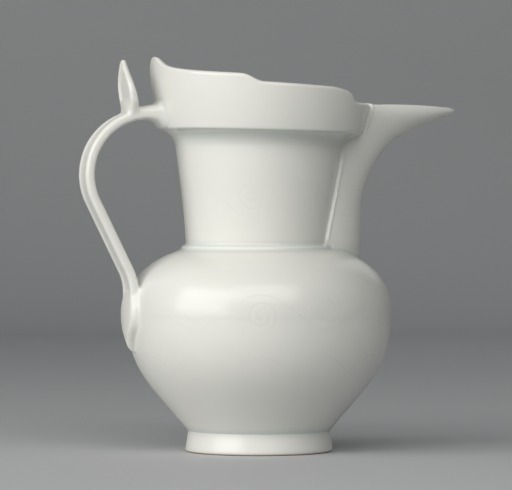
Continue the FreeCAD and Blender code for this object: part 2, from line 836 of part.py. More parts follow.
def make_haunch():
    """The hollow-curved thickening that carries the strap's underside down the collar."""
    body = body_named("haunch")
    under = cap_base + S("handle_rise") - S("strap_thickness") * 0.5
    long, drop, inside = S("haunch_length"), S("haunch_drop"), -(S("cap_radius") - 5.0)
    face = -(S("cap_radius") - S("cap_forward") + 0.3)
    tip = (face - long, under + 1.0)
    low = (face, under - drop)
    sketch = new_sketch(body, "haunch_outline", "XZ_Plane")
    draw_outline(
        sketch,
        [
            [tip, (face - long, under)],
            [
                (face - long, under),
                (face - 0.42 * long, under - 0.04 * drop),
                (face - 0.12 * long, under - 0.5 * drop),
                low,
            ],
            [low, (inside, low[1])],
            [(inside, low[1]), (inside, tip[1])],
            [(inside, tip[1]), tip],
        ],
    )
    pad = body.newObject("PartDesign::Pad", "haunch_pad")
    pad.Profile = sketch
    pad.Midplane = True
    pad.Length = SIZES["strap_width"][0] * 0.5
    pad.setExpression("Length", (S("strap_width") * 0.5).text)
    doc.recompute()
    return body


# The leaf that stands on the handle for the thumb

def leaf_outline(width, height, foot):
    """A pointed leaf, wide low down, as a closed outline round the vertical."""
    right = [
        (width * 0.55, size(-foot)),
        (width * 1.06, size(-0.2)),
        (width * 1.16, height * 0.30),
        (width * 0.66, height * 0.62),
        (width * 0.34, height * 0.86),
        (size(0), height),
    ]
    left = [(-across, up) for across, up in reversed(right)]
    return [right, left, [left[-1], right[0]]]


def make_leaf():
    body = body_named("leaf")
    level = cap_base + S("handle_rise") + S("strap_thickness") * 0.5
    body.Placement = Placement(
        Vector(-SIZES["leaf_distance"][0], 0, level.value), Rotation(Vector(0, 1, 0), -SIZES["leaf_lean"][0])
    )
    body.setExpression(".Placement.Base.x", (-S("leaf_distance")).text)
    body.setExpression(".Placement.Base.z", level.text)
    body.setExpression(".Placement.Rotation.Angle", (-S("leaf_lean")).text)
    sketch = new_sketch(body, "leaf_outline", "YZ_Plane")
    draw_outline(sketch, leaf_outline(S("leaf_width"), S("leaf_height"), 3.0))
    pad = body.newObject("PartDesign::Pad", "leaf_pad")
    pad.Profile = sketch
    pad.Midplane = True
    pad.Length = SIZES["leaf_thickness"][0]
    pad.setExpression("Length", S("leaf_thickness").text)
    front, back = S("leaf_thickness") * 0.5, -(S("leaf_thickness") * 0.5) + S("leaf_tip")
    tip = S("leaf_height") + 1.0
    low, clear = size(2.0), front + 4.0
    wedge = joined((front, low), (back, tip), (clear, tip), (clear, low), (front, low))
    cut_through(body, "leaf_taper", "XZ_Plane", wedge)
    return body


# The leaf-shaped pad that the handle's lower end is luted to

def make_pad_prism():
    body = body_named("pad_prism")
    sketch = new_sketch(body, "pad_prism_outline", "YZ_Plane")
    top, tip, wide = S("pad_top"), S("pad_tip"), S("pad_width")
    strap = S("strap_width") * 0.5
    long = top - tip
    right = [
        (strap, top),
        (strap, top - 0.12 * long),
        (wide * 1.18, top - 0.25 * long),
        (wide * 1.0, top - 0.62 * long),
        (wide * 0.28, top - 0.80 * long),
        (size(0), tip),
    ]
    left = [(-across, up) for across, up in reversed(right)]
    draw_outline(sketch, [right, left, [left[-1], right[0]]])
    pad = body.newObject("PartDesign::Pad", "pad_prism_pad")
    pad.Profile = sketch
    pad.Reversed = True
    pad.Length = SIZES["belly_radius"][0] + 20.0
    pad.setExpression("Length", (S("belly_radius") + 20.0).text)
    doc.recompute()
    return body


def make_pad_skin():
    """The belly grown by the pad's height, which gives the pad its outer face."""
    high = S("pad_height")
    up, down = shoulder_curve(high), bowl_curve(high)
    profile = [
        up,
        [up[3], (size(0), up[3][1])],
        [(size(0), up[3][1]), (size(0), down[3][1])],
        [(size(0), down[3][1]), down[3]],
        list(reversed(down)),
    ]
    return revolve("pad_skin", profile)


def make_landing_cut():
    """Everything below the pad's top edge, where the strap stops and the pad goes on."""
    body = body_named("landing_cut")
    sketch = new_sketch(body, "landing_cut_outline", "XZ_Plane")
    top, far = S("pad_top"), -(S("belly_radius") + 30.0)
    draw_outline(sketch, joined((far, top), (size(0), top), (size(0), size(0)), (far, size(0)), (far, top)))
    pad = body.newObject("PartDesign::Pad", "landing_cut_pad")
    pad.Profile = sketch
    pad.Midplane = True
    pad.Length = THROUGH
    doc.recompute()
    return body


def build():
    """Makes every piece and returns them by name."""
    pieces = {
        "foot_ring": make_foot_ring(),
        "lower_body": make_lower_body(),
        "upper_body": make_upper_body(),
        "neck_ring": make_neck_ring(),
    }
    vessel = make_vessel_form()
    mouth = make_mouth_form()
    cap = make_cap_form()
    spout_outer = loft_spout("spout_outer", STATIONS, size(0.0), 8.0)
    trim_rim(spout_outer, "spout_outer_rim")
    channel = loft_spout("spout_channel", channel_stations(), -S("spout_wall"), 8.0)
    root = joint_form("spout_root_form", vessel, mouth)
    pieces["neck"] = minus("neck", make_neck(), channel)
    pieces["cap_collar"] = minus("cap_collar", make_cap_band(), spout_outer)
    pieces["spout"] = minus("spout", minus("spout_gutter", spout_outer, channel), root)

    grown = loft_spout("spout_grown", STATIONS, S("rib_height"), 8.0)
    trim_rim(grown, "spout_grown_rim")
    skin = minus("rib_skin", grown, spout_outer)
    pieces["spout_rib"] = shared("spout_rib", skin, make_rib_band())
    pieces["spout_rib"].Label = "spout_rib"

    holder = joint_form("handle_root_form", vessel, cap)
    strap = make_strap()
    landed = minus("strap_on_pot", joint_form("strap_with_haunch", strap, make_haunch()), holder)
    pieces["handle"] = minus("handle", landed, make_landing_cut())
    pieces["thumb_leaf"] = minus("thumb_leaf", make_leaf(), strap)
    leaf_skin = shared("pad_form", make_pad_skin(), make_pad_prism())
    pieces["handle_terminal"] = minus("handle_terminal", leaf_skin, vessel)
    doc.recompute()
    return pieces


def check(pieces):
    """Stops if anything in the document failed or a piece isn't one sound solid or more."""
    for item in doc.Objects:
        if {"Invalid", "Error"} & set(item.State):
            raise RuntimeError(f"{item.Name} failed")
    for name, piece in pieces.items():
        shape = piece.Shape
        if shape.isNull() or not shape.isValid() or not shape.Solids:
            raise RuntimeError(f"{name} has no sound shape")
        print(f"{name}: {len(shape.Solids)} solids, {shape.Volume:.1f} mm3")


def write(pieces):
    os.makedirs("parts", exist_ok=True)
    for name, piece in pieces.items():
        piece.Shape.exportStep(f"parts/{name}.step")


made = build()
check(made)
write(made)
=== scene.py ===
import math

import bmesh
import bpy
import numpy as np
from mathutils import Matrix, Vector
from mathutils.bvhtree import BVHTree
from mathutils.kdtree import KDTree


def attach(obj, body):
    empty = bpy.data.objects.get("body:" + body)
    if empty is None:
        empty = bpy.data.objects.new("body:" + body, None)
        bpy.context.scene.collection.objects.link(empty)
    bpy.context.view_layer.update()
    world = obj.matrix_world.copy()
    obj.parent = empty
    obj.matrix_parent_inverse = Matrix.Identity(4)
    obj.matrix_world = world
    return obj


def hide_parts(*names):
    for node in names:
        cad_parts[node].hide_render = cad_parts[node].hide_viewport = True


# White-glazed ewer with a stepped collar, open spout and strap handle.
# Sizes are in millimetres as on the maker's drawing and become metres when a mesh is made.
# Spout towards +X, handle towards -X, +Z up, the foot stands on z = 0.

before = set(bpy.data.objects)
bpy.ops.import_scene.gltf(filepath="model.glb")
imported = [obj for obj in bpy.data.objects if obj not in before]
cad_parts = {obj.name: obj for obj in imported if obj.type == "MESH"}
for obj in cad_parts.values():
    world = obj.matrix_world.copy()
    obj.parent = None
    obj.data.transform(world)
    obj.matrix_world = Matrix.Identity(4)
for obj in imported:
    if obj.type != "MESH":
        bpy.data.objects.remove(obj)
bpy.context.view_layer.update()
mm = 0.001

print("stage: camera and light")

studio = {
    "turn": 16.0,         # degrees that the viewer stands off the side view
    "distance": 1.85,     # metres from the pot's axis
    "eyeHeight": 0.130,
    "focalPixels": 3700.0,
    "axisPixel": (259.0, 191.0),   # where the pot's axis and the eye level fall in the picture
    "picture": (512.0, 490.0),
}


def addObject(name, data):
    thing = bpy.data.objects.new(name, data)
    bpy.context.scene.collection.objects.link(thing)
    return thing


def placeCamera(setup):
    away, distance = math.radians(setup["turn"]), setup["distance"]
    data = bpy.data.cameras.new("portraitCamera")
    camera = addObject("portraitCamera", data)
    camera.location = (-math.sin(away) * distance, -math.cos(away) * distance, setup["eyeHeight"])
    camera.rotation_euler = (math.radians(90.0), 0.0, -away)
    wide, high = setup["picture"]
    data.sensor_width = 36.0
    data.lens = setup["focalPixels"] * 36.0 / wide
    data.shift_x = (wide / 2 - setup["axisPixel"][0]) / wide
    data.shift_y = (setup["axisPixel"][1] - high / 2) / wide
    data.clip_start, data.clip_end = 0.05, 20.0
    bpy.context.scene.camera = camera


def addSoftbox(name, place, target, size, power, colour):
    data = bpy.data.lights.new(name, "AREA")
    data.shape = "RECTANGLE"
    data.size, data.size_y = size
    data.energy = power
    data.color = colour
    lamp = addObject(name, data)
    lamp.location = place
    lamp.rotation_euler = (Vector(target) - Vector(place)).to_track_quat("-Z", "Y").to_euler()


placeCamera(studio)
addSoftbox("keyBox", (-1.40, -0.60, 0.72), (0, 0, 0.12), (1.5, 1.2), 20.0, (1.0, 0.985, 0.96))
addSoftbox("frontBox", (-0.25, -1.40, 1.20), (0, 0, 0.12), (1.7, 1.1), 14.5, (1.0, 0.99, 0.97))
addSoftbox("rearBox", (0.9, 1.3, 0.9), (0, 0, 0.15), (0.9, 0.9), 1.0, (0.96, 0.98, 1.0))

world = bpy.data.worlds.new("paleRoom")
world.use_nodes = True
world.node_tree.nodes["Background"].inputs["Color"].default_value = (0.80, 0.82, 0.84, 1.0)
world.node_tree.nodes["Background"].inputs["Strength"].default_value = 0.13
bpy.context.scene.world = world
bpy.context.scene.view_settings.view_transform = "Standard"

print("stage: glaze")

glazeLook = {
    "white": (0.80, 0.785, 0.73, 1.0),     # thin glaze over the body
    "pooledAndShaded": (0.60, 0.655, 0.615, 1.0),    # thick glaze in corners, with painted shade in the joints and under the collar
    "cloud": (0.765, 0.78, 0.745, 1.0),    # slow drift of the glaze's tint
    "roughness": 0.23,
    "peelScale": 420.0,
    "peelDepth": 0.00002,
    "waveScale": 38.0,
    "waveDepth": 0.00022,
    "bareClay": (0.50, 0.30, 0.17, 1.0),    # unglazed edge under the foot
    "cutDepth": 0.00005,      # faint scrolls cut under the glaze
    "cutTint": 0.10,
    # each scroll's count, middle height, swing and radius in mm, widest spiral and spacing of its turns
    "scrolls": ((6, 71.0, 8.5, 65.0, 11.0, 3.6), (4, 126.0, 9.0, 45.5, 11.5, 3.9)),
    "petals": (12, 41.0, 8.0),
}


class Level:
    # one socket's value: sums with it lay Math nodes in its tree
    def __init__(self, tree, socket):
        self.tree, self.socket = tree, socket

    def then(self, operation, *others):
        node = self.tree.nodes.new("ShaderNodeMath")
        node.operation = operation
        for slot, value in zip(node.inputs, (self,) + others):
            feed(slot, value)
        return Level(self.tree, node.outputs[0])

    def __add__(self, other):
        return self.then("ADD", other)

    def __sub__(self, other):
        return self.then("SUBTRACT", other)

    def __mul__(self, other):
        return self.then("MULTIPLY", other)

    def fade(self, start, stop):
        # one up to start, none from stop on
        node = self.tree.nodes.new("ShaderNodeMapRange")
        node.interpolation_type = "SMOOTHSTEP"
        for name, value in (("From Min", start), ("From Max", stop),
                            ("To Min", 1.0), ("To Max", 0.0), ("Value", self)):
            feed(node.inputs[name], value)
        return Level(self.tree, node.outputs["Result"])


def feed(slot, value):
    if isinstance(value, Level):
        value.tree.links.new(value.socket, slot)
    else:
        slot.default_value = value


def split(vector):
    node = vector.tree.nodes.new("ShaderNodeSeparateXYZ")
    feed(node.inputs[0], vector)
    return [Level(vector.tree, output) for output in node.outputs]


def noise(place, scale, detail=2.0):
    node = place.tree.nodes.new("ShaderNodeTexNoise")
    for name, value in (("Vector", place), ("Scale", scale), ("Detail", detail)):
        feed(node.inputs[name], value)
    return Level(place.tree, node.outputs["Fac"])


def mixed(kind, share, first, second):
    node = share.tree.nodes.new("ShaderNodeMix")
    node.data_type = kind
    slots, out = ((0, 6, 7), 2) if kind == "RGBA" else ((0, 2, 3), 0)
    for slot, value in zip(slots, (share, first, second)):
        feed(node.inputs[slot], value)
    return Level(share.tree, node.outputs[out])


def bumped(height, depth, under=None):
    node = height.tree.nodes.new("ShaderNodeBump")
    feed(node.inputs["Distance"], depth)
    feed(node.inputs["Height"], height)
    if under:
        feed(node.inputs["Normal"], under)
    return Level(height.tree, node.outputs["Normal"])


def scrollLines(around, up, scroll):
    # a stem that waves round the pot, with a spiral in each of its hollows
    count, middle, swing, radius, widest, spacing = scroll
    phase = around * count
    wave, above = phase.then("SINE"), up - middle
    stem = (above - wave * swing).then("ABSOLUTE")
    side = wave.then("SIGN")
    across = ((phase + math.pi).then("PINGPONG", math.pi) - math.pi / 2) * side * (radius / count)
    rise = above * side + 0.22 * swing
    reach = (across * across + rise * rise).then("SQRT")
    turnShare = rise.then("ARCTAN2", across) * (0.5 / math.pi)
    curl = (reach * (1 / spacing) - turnShare + 8.0).then("FRACT")
    curlLine = ((curl - 0.5).then("ABSOLUTE") * spacing).fade(0.15, 0.6)
    curlLine = curlLine * reach.fade(0.62 * widest, 0.8 * widest)
    return stem.fade(0.2, 0.7).then("MAXIMUM", curlLine)


def cutLines(look, place):
    x, y, z = split(place)
    around, up, width = y.then("ARCTAN2", x), z * 1000.0, (x * x + y * y).then("SQRT")
    count, low, tall = look["petals"]
    scallop = (around * (count / 2)).then("SINE").then("ABSOLUTE") * tall
    total = (up - low - scallop).then("ABSOLUTE").fade(0.2, 0.7)
    for scroll in look["scrolls"]:
        _, middle, swing, radius, _, _ = scroll
        near = (up - middle).then("ABSOLUTE").fade(1.3 * swing, 1.7 * swing)
        # none on what stands out from the pot, the strap and the spout
        onPot = width.fade((radius + 2.0) * mm, (radius + 2.8) * mm)
        total = total.then("MAXIMUM", scrollLines(around, up, scroll) * near * onPot)
    return total * noise(place, 32.0).fade(0.42, 0.66)


def makeGlaze(look):
    material = bpy.data.materials.new("whiteGlaze")
    material.use_nodes = True
    tree = material.node_tree
    shader = tree.nodes["Principled BSDF"]
    place = Level(tree, tree.nodes.new("ShaderNodeTexCoord").outputs["Object"])
    stains = []
    for name in ("glazePoolAndShade", "bareClay"):
        stain = tree.nodes.new("ShaderNodeAttribute")
        stain.attribute_name = name
        stains.append(Level(tree, stain.outputs["Fac"]))
    poolAndShade, bare = stains
    lines = cutLines(look, place)

    colour = mixed("RGBA", noise(place, 14.0, 3.0), look["white"], look["cloud"])
    # the darker pooled tint goes on the stained corners and on the cut lines: thick glaze there, with painted
    # shade in the joints and under the collar
    colour = mixed("RGBA", poolAndShade.then("MAXIMUM", lines * look["cutTint"]), colour, look["pooledAndShaded"])
    feed(shader.inputs["Base Color"], mixed("RGBA", bare, colour, look["bareClay"]))
    sheen = noise(place, 60.0) * 0.09 + (look["roughness"] - 0.04)
    feed(shader.inputs["Roughness"], mixed("FLOAT", bare, sheen, 0.85))

    relief = bumped(noise(place, look["peelScale"]), look["peelDepth"])
    relief = bumped(noise(place, look["waveScale"], 1.0), look["waveDepth"], relief)
    relief = bumped(lines * -1.0, look["cutDepth"], relief)
    feed(shader.inputs["Normal"], relief)

    shader.inputs["IOR"].default_value = 1.5
    shader.inputs["Subsurface Weight"].default_value = 0.12
    shader.inputs["Subsurface Radius"].default_value = (1.0, 0.9, 0.75)
    shader.inputs["Subsurface Scale"].default_value = 0.003
    return material


whiteGlaze = makeGlaze(glazeLook)

print("stage: shared curves and helpers")


def spline(poles, count=24):
    # clamped even cubic, the same curve as the drawing's
    poles = np.array(poles, float)
    spans = len(poles) - 3
    knots = np.concatenate([[0.0] * 3, np.arange(spans + 1), [float(spans)] * 3])
    at = np.linspace(0.0, spans, count * spans + 1)
    basis = [((knots[i] <= at) & (at < knots[i + 1])).astype(float) for i in range(len(knots) - 1)]
    basis[len(poles) - 1][-1] = 1.0
    for degree in range(1, 4):
        following = []
        for i in range(len(basis) - 1):
            rise = knots[i + degree] - knots[i]
            fall = knots[i + degree + 1] - knots[i + 1]
            value = np.zeros_like(at)
            if rise > 0:
                value = value + (at - knots[i]) / rise * basis[i]
            if fall > 0:
                value = value + (knots[i + degree + 1] - at) / fall * basis[i + 1]
            following.append(value)
        basis = following
    return np.stack(basis[:len(poles)], 1) @ poles


def follow(curve, at, column=0, by=1):
    # one coordinate of a curve where the other has the given value
    return np.interp(at, curve[:, by], curve[:, column])


def arc(centre, radius, start, stop, count=8):
    angles = np.radians(np.linspace(start, stop, count))
    return np.stack([centre[0] + radius * np.cos(angles), centre[1] + radius * np.sin(angles)], 1)


def chain(*runs):
    # joins runs of points end to end without doubles
    points = [np.array(runs[0], float)]
    for run in runs[1:]:
        run = np.array(run, float)
        points.append(run[1:] if np.allclose(points[-1][-1], run[0], atol=1e-4) else run)
    return np.concatenate(points)


def straight(start, stop, step=1.5):
    start, stop = np.array(start, float), np.array(stop, float)
    count = max(2, int(np.linalg.norm(stop - start) / step) + 1)
    return start + np.linspace(0, 1, count)[:, None] * (stop - start)


def meshFromGrid(name, grid, closeRows=False, closeColumns=False):
    # grid is rows x columns x 3, in millimetres
    rows, columns, _ = grid.shape
    index = np.arange(rows * columns).reshape(rows, columns)
    if closeRows:
        index = np.concatenate([index, index[:1]])
    if closeColumns:
        index = np.concatenate([index, index[:, :1]], 1)
    quads = np.stack([index[:-1, :-1], index[:-1, 1:], index[1:, 1:], index[1:, :-1]], -1).reshape(-1, 4)
    mesh = bpy.data.meshes.new(name)
    mesh.from_pydata((grid.reshape(-1, 3) * mm).tolist(), [], quads.tolist())
    return mesh


def corners(mesh):
    places = np.empty(len(mesh.vertices) * 3)
    mesh.vertices.foreach_get("co", places)
    return places.reshape(-1, 3) / mm


def setCorners(mesh, places):
    mesh.vertices.foreach_set("co", (places * mm).ravel())
    mesh.update()


def cleanMesh(mesh, sharpAngle=40.0, merge=0.002, capHoles=False):
    form = bmesh.new()
    form.from_mesh(mesh)
    bmesh.ops.remove_doubles(form, verts=form.verts, dist=merge * mm)
    bmesh.ops.dissolve_degenerate(form, edges=form.edges, dist=merge * mm * 0.5)
    if capHoles:
        bmesh.ops.holes_fill(form, edges=form.edges)
    bmesh.ops.delete(form, geom=[vert for vert in form.verts if not vert.link_faces], context="VERTS")
    bmesh.ops.delete(form, geom=[edge for edge in form.edges if not edge.link_faces], context="EDGES")
    bmesh.ops.recalc_face_normals(form, faces=form.faces)
    form.to_mesh(mesh)
    form.free()
    mesh.polygons.foreach_set("use_smooth", [True] * len(mesh.polygons))
    mesh.set_sharp_from_angle(angle=math.radians(sharpAngle))


def bell(value, middle, width):
    return np.exp(-((value - middle) / width) ** 2)


def stainMesh(mesh, poolAndShadeRule=None, bareRule=None):
    # rule: points in millimetres -> 0..1 for each vertex
    places = corners(mesh)
    # the first attribute pulls the colour towards the pooled tint: thick glaze together with painted shade in
    # joints and under the collar
    for name, rule in (("glazePoolAndShade", poolAndShadeRule), ("bareClay", bareRule)):
        layer = mesh.attributes.new(name, "FLOAT", "POINT")
        amount = rule(places) if rule else np.zeros(len(places))
        layer.data.foreach_set("value", np.clip(amount, 0, 1).astype(np.float32))


def putInPlace(name, mesh, node):
    piece = addObject(name, mesh)
    mesh.materials.clear()
    mesh.materials.append(whiteGlaze)
    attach(piece, "root")
    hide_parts(node)
    print("piece:", name, len(mesh.polygons), "faces")
    return piece


def turningTree():
    # a piece of revolution: each row of a grid is laid round the axis at the profile's own point
    tree = bpy.data.node_groups.new("turnedPiece", "GeometryNodeTree")
    for name, kind in (("Profile", "Geometry"), ("Rows", "Int"), ("Segments", "Int"),
                       ("Waver", "Float"), ("Glaze", "Material")):
        tree.interface.new_socket(name=name, in_out="INPUT", socket_type="NodeSocket" + kind)
    tree.interface.new_socket(name="Piece", in_out="OUTPUT", socket_type="NodeSocketGeometry")
    nodes = tree.nodes
    given, made = nodes.new("NodeGroupInput"), nodes.new("NodeGroupOutput")

    def lay(kind, **values):
        # a node with its inputs fed by name, the first letter of each word made a capital
        node = nodes.new(kind)
        for name, value in values.items():
            feed(node.inputs[name.replace("_", " ").title() if len(name) > 1 else name.upper()], value)
        return node

    def laid(kind, **values):
        return Level(tree, lay(kind, **values).outputs[0])

    profile, rows, segments, wide, glaze = (Level(tree, given.outputs[name]) for name in (
        "Profile", "Rows", "Segments", "Waver", "Glaze"))
    grid = laid("GeometryNodeMeshGrid", size_x=1.0, size_y=1.0, vertices_x=segments + 1, vertices_y=rows)
    place = laid("GeometryNodeInputPosition")
    x, y, _ = split(place)
    angle = (x + 0.5) * (2 * math.pi)
    sample = nodes.new("GeometryNodeSampleIndex")
    sample.data_type = "FLOAT_VECTOR"
    for name, value in (("Geometry", profile), ("Value", place),
                        ("Index", ((y + 0.5) * (rows - 1)).then("ROUND"))):
        feed(sample.inputs[name], value)
    radius, _, height = split(Level(tree, sample.outputs[0]))

    # where on the wheel, for the hand's unevenness
    around = laid("ShaderNodeCombineXYZ", x=angle.then("COSINE") * 1.3,
                  y=angle.then("SINE") * 1.3, z=height * 40.0)
    waver = (noise(around, 1.0, 0.0) - 0.5) * wide
    onWheel = radius + waver * radius.then("GREATER_THAN", 0.0005)
    spot = laid("ShaderNodeCombineXYZ", x=onWheel * angle.then("COSINE"),
                y=onWheel * angle.then("SINE"), z=height)
    moved = laid("GeometryNodeSetPosition", geometry=grid, position=spot)
    welded = laid("GeometryNodeMergeByDistance", geometry=moved, distance=0.000002)
    real = laid("GeometryNodeRealizeInstances", geometry=welded)
    feed(made.inputs[0], laid("GeometryNodeSetMaterial", geometry=real, material=glaze))
    return tree


turnedPiece = turningTree()


def evaluated(form):
    return bpy.data.meshes.new_from_object(form.evaluated_get(bpy.context.evaluated_depsgraph_get()))


def turn(name, profile, segments=288, waver=0.25):
    # profile: closed run of (radius, height); returns the turned mesh
    profile = np.array(profile, float)
    points = np.stack([profile[:, 0], np.zeros(len(profile)), profile[:, 1]], 1) * mm
    line = bpy.data.meshes.new(name + "Profile")
    line.from_pydata(points.tolist(), [(i, i + 1) for i in range(len(points) - 1)], [])
    blank = addObject(name + "Blank", line)
    wheel = blank.modifiers.new("wheel", "NODES")
    wheel.node_group = turnedPiece
    sockets = {item.name: item.identifier
               for item in turnedPiece.interface.items_tree if item.in_out == "INPUT"}
    wheel[sockets["Rows"]] = len(points)
    wheel[sockets["Segments"]] = segments
    wheel[sockets["Waver"]] = waver * mm
    wheel[sockets["Glaze"]] = whiteGlaze
    mesh = evaluated(blank)
    bpy.data.objects.remove(blank)
    cleanMesh(mesh)
    return mesh


# Main outline of the pot, shared by the turned pieces
pot = {
    "footRadius": 36.8, "footWaist": 35.5, "footHeight": 10.5,
    "footWall": 3.8, "footEdge": 1.5, "footRest": 1.7,
    "bellyRadius": 66.0, "bellyHeight": 68.5, "shoulderHeight": 100.8, "wall": 3.6, "baseThickness": 5.0,
    "bowlSteep": 30.5, "bowlSwell": 18.6, "bowlSwellRise": 22.6,
    "shoulderSteep": 11.8, "shoulderSwell": 14.2, "shoulderDip": 5.1,
    "neckRadius": 36.6, "neckFlare": 5.3, "neckWall": 3.4, "neckHeight": 58.7, "neckStraight": 16.6,
    "coveHeight": 7.0, "coveWidth": 7.4, "beadWidth": 2.3, "beadHeight": 2.6,
}
capBase = pot["shoulderHeight"] + pot["neckHeight"]
neckTop = pot["neckRadius"] + pot["neckFlare"]


def bowlPoles():
    foot, waist = pot["footHeight"], pot["footWaist"]
    return [
        (pot["bellyRadius"], pot["bellyHeight"]),
        (pot["bellyRadius"], foot + pot["bowlSteep"]),
        (waist + pot["bowlSwell"], foot + pot["bowlSwellRise"]),
        (waist, foot),
    ]


def shoulderPoles():
    edge, top = pot["neckRadius"] + pot["beadWidth"], pot["shoulderHeight"]
    return [
        (pot["bellyRadius"], pot["bellyHeight"]),
        (pot["bellyRadius"], top - pot["shoulderSteep"]),
        (edge + pot["shoulderSwell"], top - pot["shoulderDip"]),
        (edge, top),
    ]


def neckPoles():
    beadTop = pot["shoulderHeight"] + pot["beadHeight"]
    return [
        (pot["neckRadius"], beadTop),
        (pot["neckRadius"] + 0.7, beadTop + pot["neckStraight"]),
        (neckTop - 1.6, capBase - pot["coveHeight"] - 12.5),
        (neckTop, capBase - pot["coveHeight"]),
    ]


def covePoles():
    deep, wide = pot["coveHeight"], pot["coveWidth"]
    return [
        (neckTop, capBase - deep),
        (neckTop + 0.12 * wide, capBase - 0.54 * deep),
        (neckTop + 0.36 * wide, capBase - 0.21 * deep),
        (neckTop + wide, capBase),
    ]


def makeFootRing():
    outer, waist, height = pot["footRadius"], pot["footWaist"], pot["footHeight"]
    edge, rest = pot["footEdge"], pot["footRest"]
    innerTop, innerFoot = waist - pot["footWall"], outer - edge - rest - 0.8
    profile = chain(
        straight((innerTop, height), (waist, height)),
        spline([(waist, height), (waist + 0.2, height - 3.5), (outer - 0.3, height * 0.4), (outer, edge)]),
        spline([(outer, edge), (outer, edge * 0.45), (outer - edge * 0.55, 0), (outer - edge, 0)], 8),
        straight((outer - edge, 0), (outer - edge - rest, 0), 0.6),
        spline([(outer - edge - rest, 0), (innerFoot + 0.3, 0), (innerFoot, 0.3), (innerFoot, 0.9)], 8),
        straight((innerFoot, 0.9), (innerTop, height)),
    )
    mesh = turn("footRing", profile)
    # darker pooled tint at the foot's joint with the belly: thick glaze with painted shade in the crease; a
    # fainter band of it just above the unglazed edge
    stainMesh(
        mesh,
        lambda p: 0.55 * bell(p[:, 2], height, 1.6) + 0.2 * bell(p[:, 2], 1.5, 1.2),
        lambda p: (p[:, 2] < 0.55).astype(float),
    )
    putInPlace("footRing", mesh, "foot_ring")


def makeLowerBody():
    wall, floor = pot["wall"], pot["footHeight"] + pot["baseThickness"]
    seam, flare, dip, foot = bowlPoles()
    corner = (pot["footWaist"] - 2.6, floor + 0.6)
    profile = chain(
        spline(bowlPoles(), 64),
        straight(foot, (0, pot["footHeight"]), 3.0),
        straight((0, pot["footHeight"]), (0, floor), 5.0),
        straight((0, floor), corner, 3.0),
        spline([corner, (dip[0] - 0.79 * wall, dip[1] + 0.61 * wall), (flare[0] - wall, flare[1]),
                (seam[0] - wall, seam[1])], 40),
        straight((seam[0] - wall, seam[1]), seam),
    )
    mesh = turn("lowerBody", profile)
    # darker pooled tint at the belly's joint with the foot: thick glaze with painted shade in the crease
    stainMesh(mesh, lambda p: 0.6 * bell(p[:, 2], pot["footHeight"], 2.2))
    putInPlace("lowerBody", mesh, "lower_body")


def makeUpperBody():
    wall, bore = pot["wall"], pot["neckRadius"] - pot["neckWall"]
    seam, rise, dome, edge = shoulderPoles()
    profile = chain(
        spline(shoulderPoles(), 64),
        straight(edge, (bore, edge[1])),
        straight((bore, edge[1]), (bore, edge[1] - wall)),
        spline([(bore, edge[1] - wall), (dome[0] - 0.6 * wall, dome[1] - 0.8 * wall),
                (rise[0] - wall, rise[1]),
                (seam[0] - wall, seam[1])], 40),
        straight((seam[0] - wall, seam[1]), seam),
    )
    mesh = turn("upperBody", profile)
    # darker pooled tint round the neck's foot: thick glaze with painted shade in the joint
    stainMesh(mesh, lambda p: 0.5 * bell(np.hypot(p[:, 0], p[:, 1]), edge[0], 3.0) * (p[:, 2] > 95))
    putInPlace("upperBody", mesh, "upper_body")


def makeNeckRing():
    # a low soft ring that fades into the neck above and the shoulder below
    inner, low = pot["neckRadius"], pot["shoulderHeight"]
    outer, high = inner + pot["beadWidth"], low + pot["beadHeight"]
    profile = chain(
        straight((outer, low), (outer + 2.6, low - 1.2), 0.5),
        spline([(outer + 2.6, low - 1.2), (outer + 1.2, low - 0.45), (outer + 0.2, low + 0.1),
                (outer - 0.1, low + 1.3), (outer - 0.6, high - 0.6), (inner + 0.7, high - 0.6),
                (inner + 0.1, high + 0.4), (inner - 0.1, high + 1.8)], 10),
        straight((inner - 0.1, high + 1.8), (inner - 0.3, high + 1.8), 0.2),
        straight((inner - 0.3, high + 1.8), (inner - 0.3, low)),
        straight((inner - 0.3, low), (outer, low)),
    )
    mesh = turn("neckRing", profile)
    # darker pooled tint at the ring's foot and top: thick glaze with painted shade in the joints
    stainMesh(mesh, lambda p: 0.5 * bell(p[:, 2], low, 0.8) + 0.5 * bell(p[:, 2], high, 0.7))
    putInPlace("neckRing", mesh, "neck_ring")


makeFootRing()
makeLowerBody()
makeUpperBody()
makeNeckRing()

print("stage: collar")

collar = {
    "radius": 51.3, "flare": 5.6, "wall": 3.4, "rounding": 1.3, "peak": 36.4, "peakFall": 2.0,
    "highRun": 27.8, "runFall": 0.4, "lowRun": 23.3, "front": 15.1, "sideStep": 18.7, "frontStep": 36.9,
    "forward": 1.2, "lean": 1.4, "ledge": 4.6, "ledgeBore": 37.4, "peakStart": 0.66,
    "rimCrown": 1.5, "endRounding": 0.8, "endWidth": 18.3,
}


def onCollar(points):
    # from the collar's own frame to the pot's
    lean = math.radians(collar["lean"])
    x, y, z = points[..., 0], points[..., 1], points[..., 2]
    return np.stack([
        collar["forward"] + x * math.cos(lean) + z * math.sin(lean), y,
        capBase - x * math.sin(lean) + z * math.cos(lean)], -1)


def leanTop(mesh):
    # tilts the cove at the neck's top so that it meets the leaning collar all round
    places = corners(mesh)
    share = np.clip((places[:, 2] - capBase + pot["coveHeight"]) / pot["coveHeight"], 0, 1)
    places[:, 2] -= share * (places[:, 0] - collar["forward"]) * math.sin(math.radians(collar["lean"]))
    setCorners(mesh, places)


def collarPoles(inside=False):
    radius, flare, peak = collar["radius"], collar["flare"], collar["peak"]
    outer = [(radius, collar["rounding"]), (radius + 0.36 * flare, peak * 0.25),
             (radius + 0.90 * flare, peak * 0.58), (radius + flare, peak + 2.0)]
    if not inside:
        return outer
    wall = collar["wall"]
    return [(outer[0][0] - wall + 0.3, collar["ledge"]), (outer[1][0] - wall, outer[1][1] + 1.0),
            (outer[2][0] - wall, outer[2][1]), (outer[3][0] - wall, outer[3][1])]


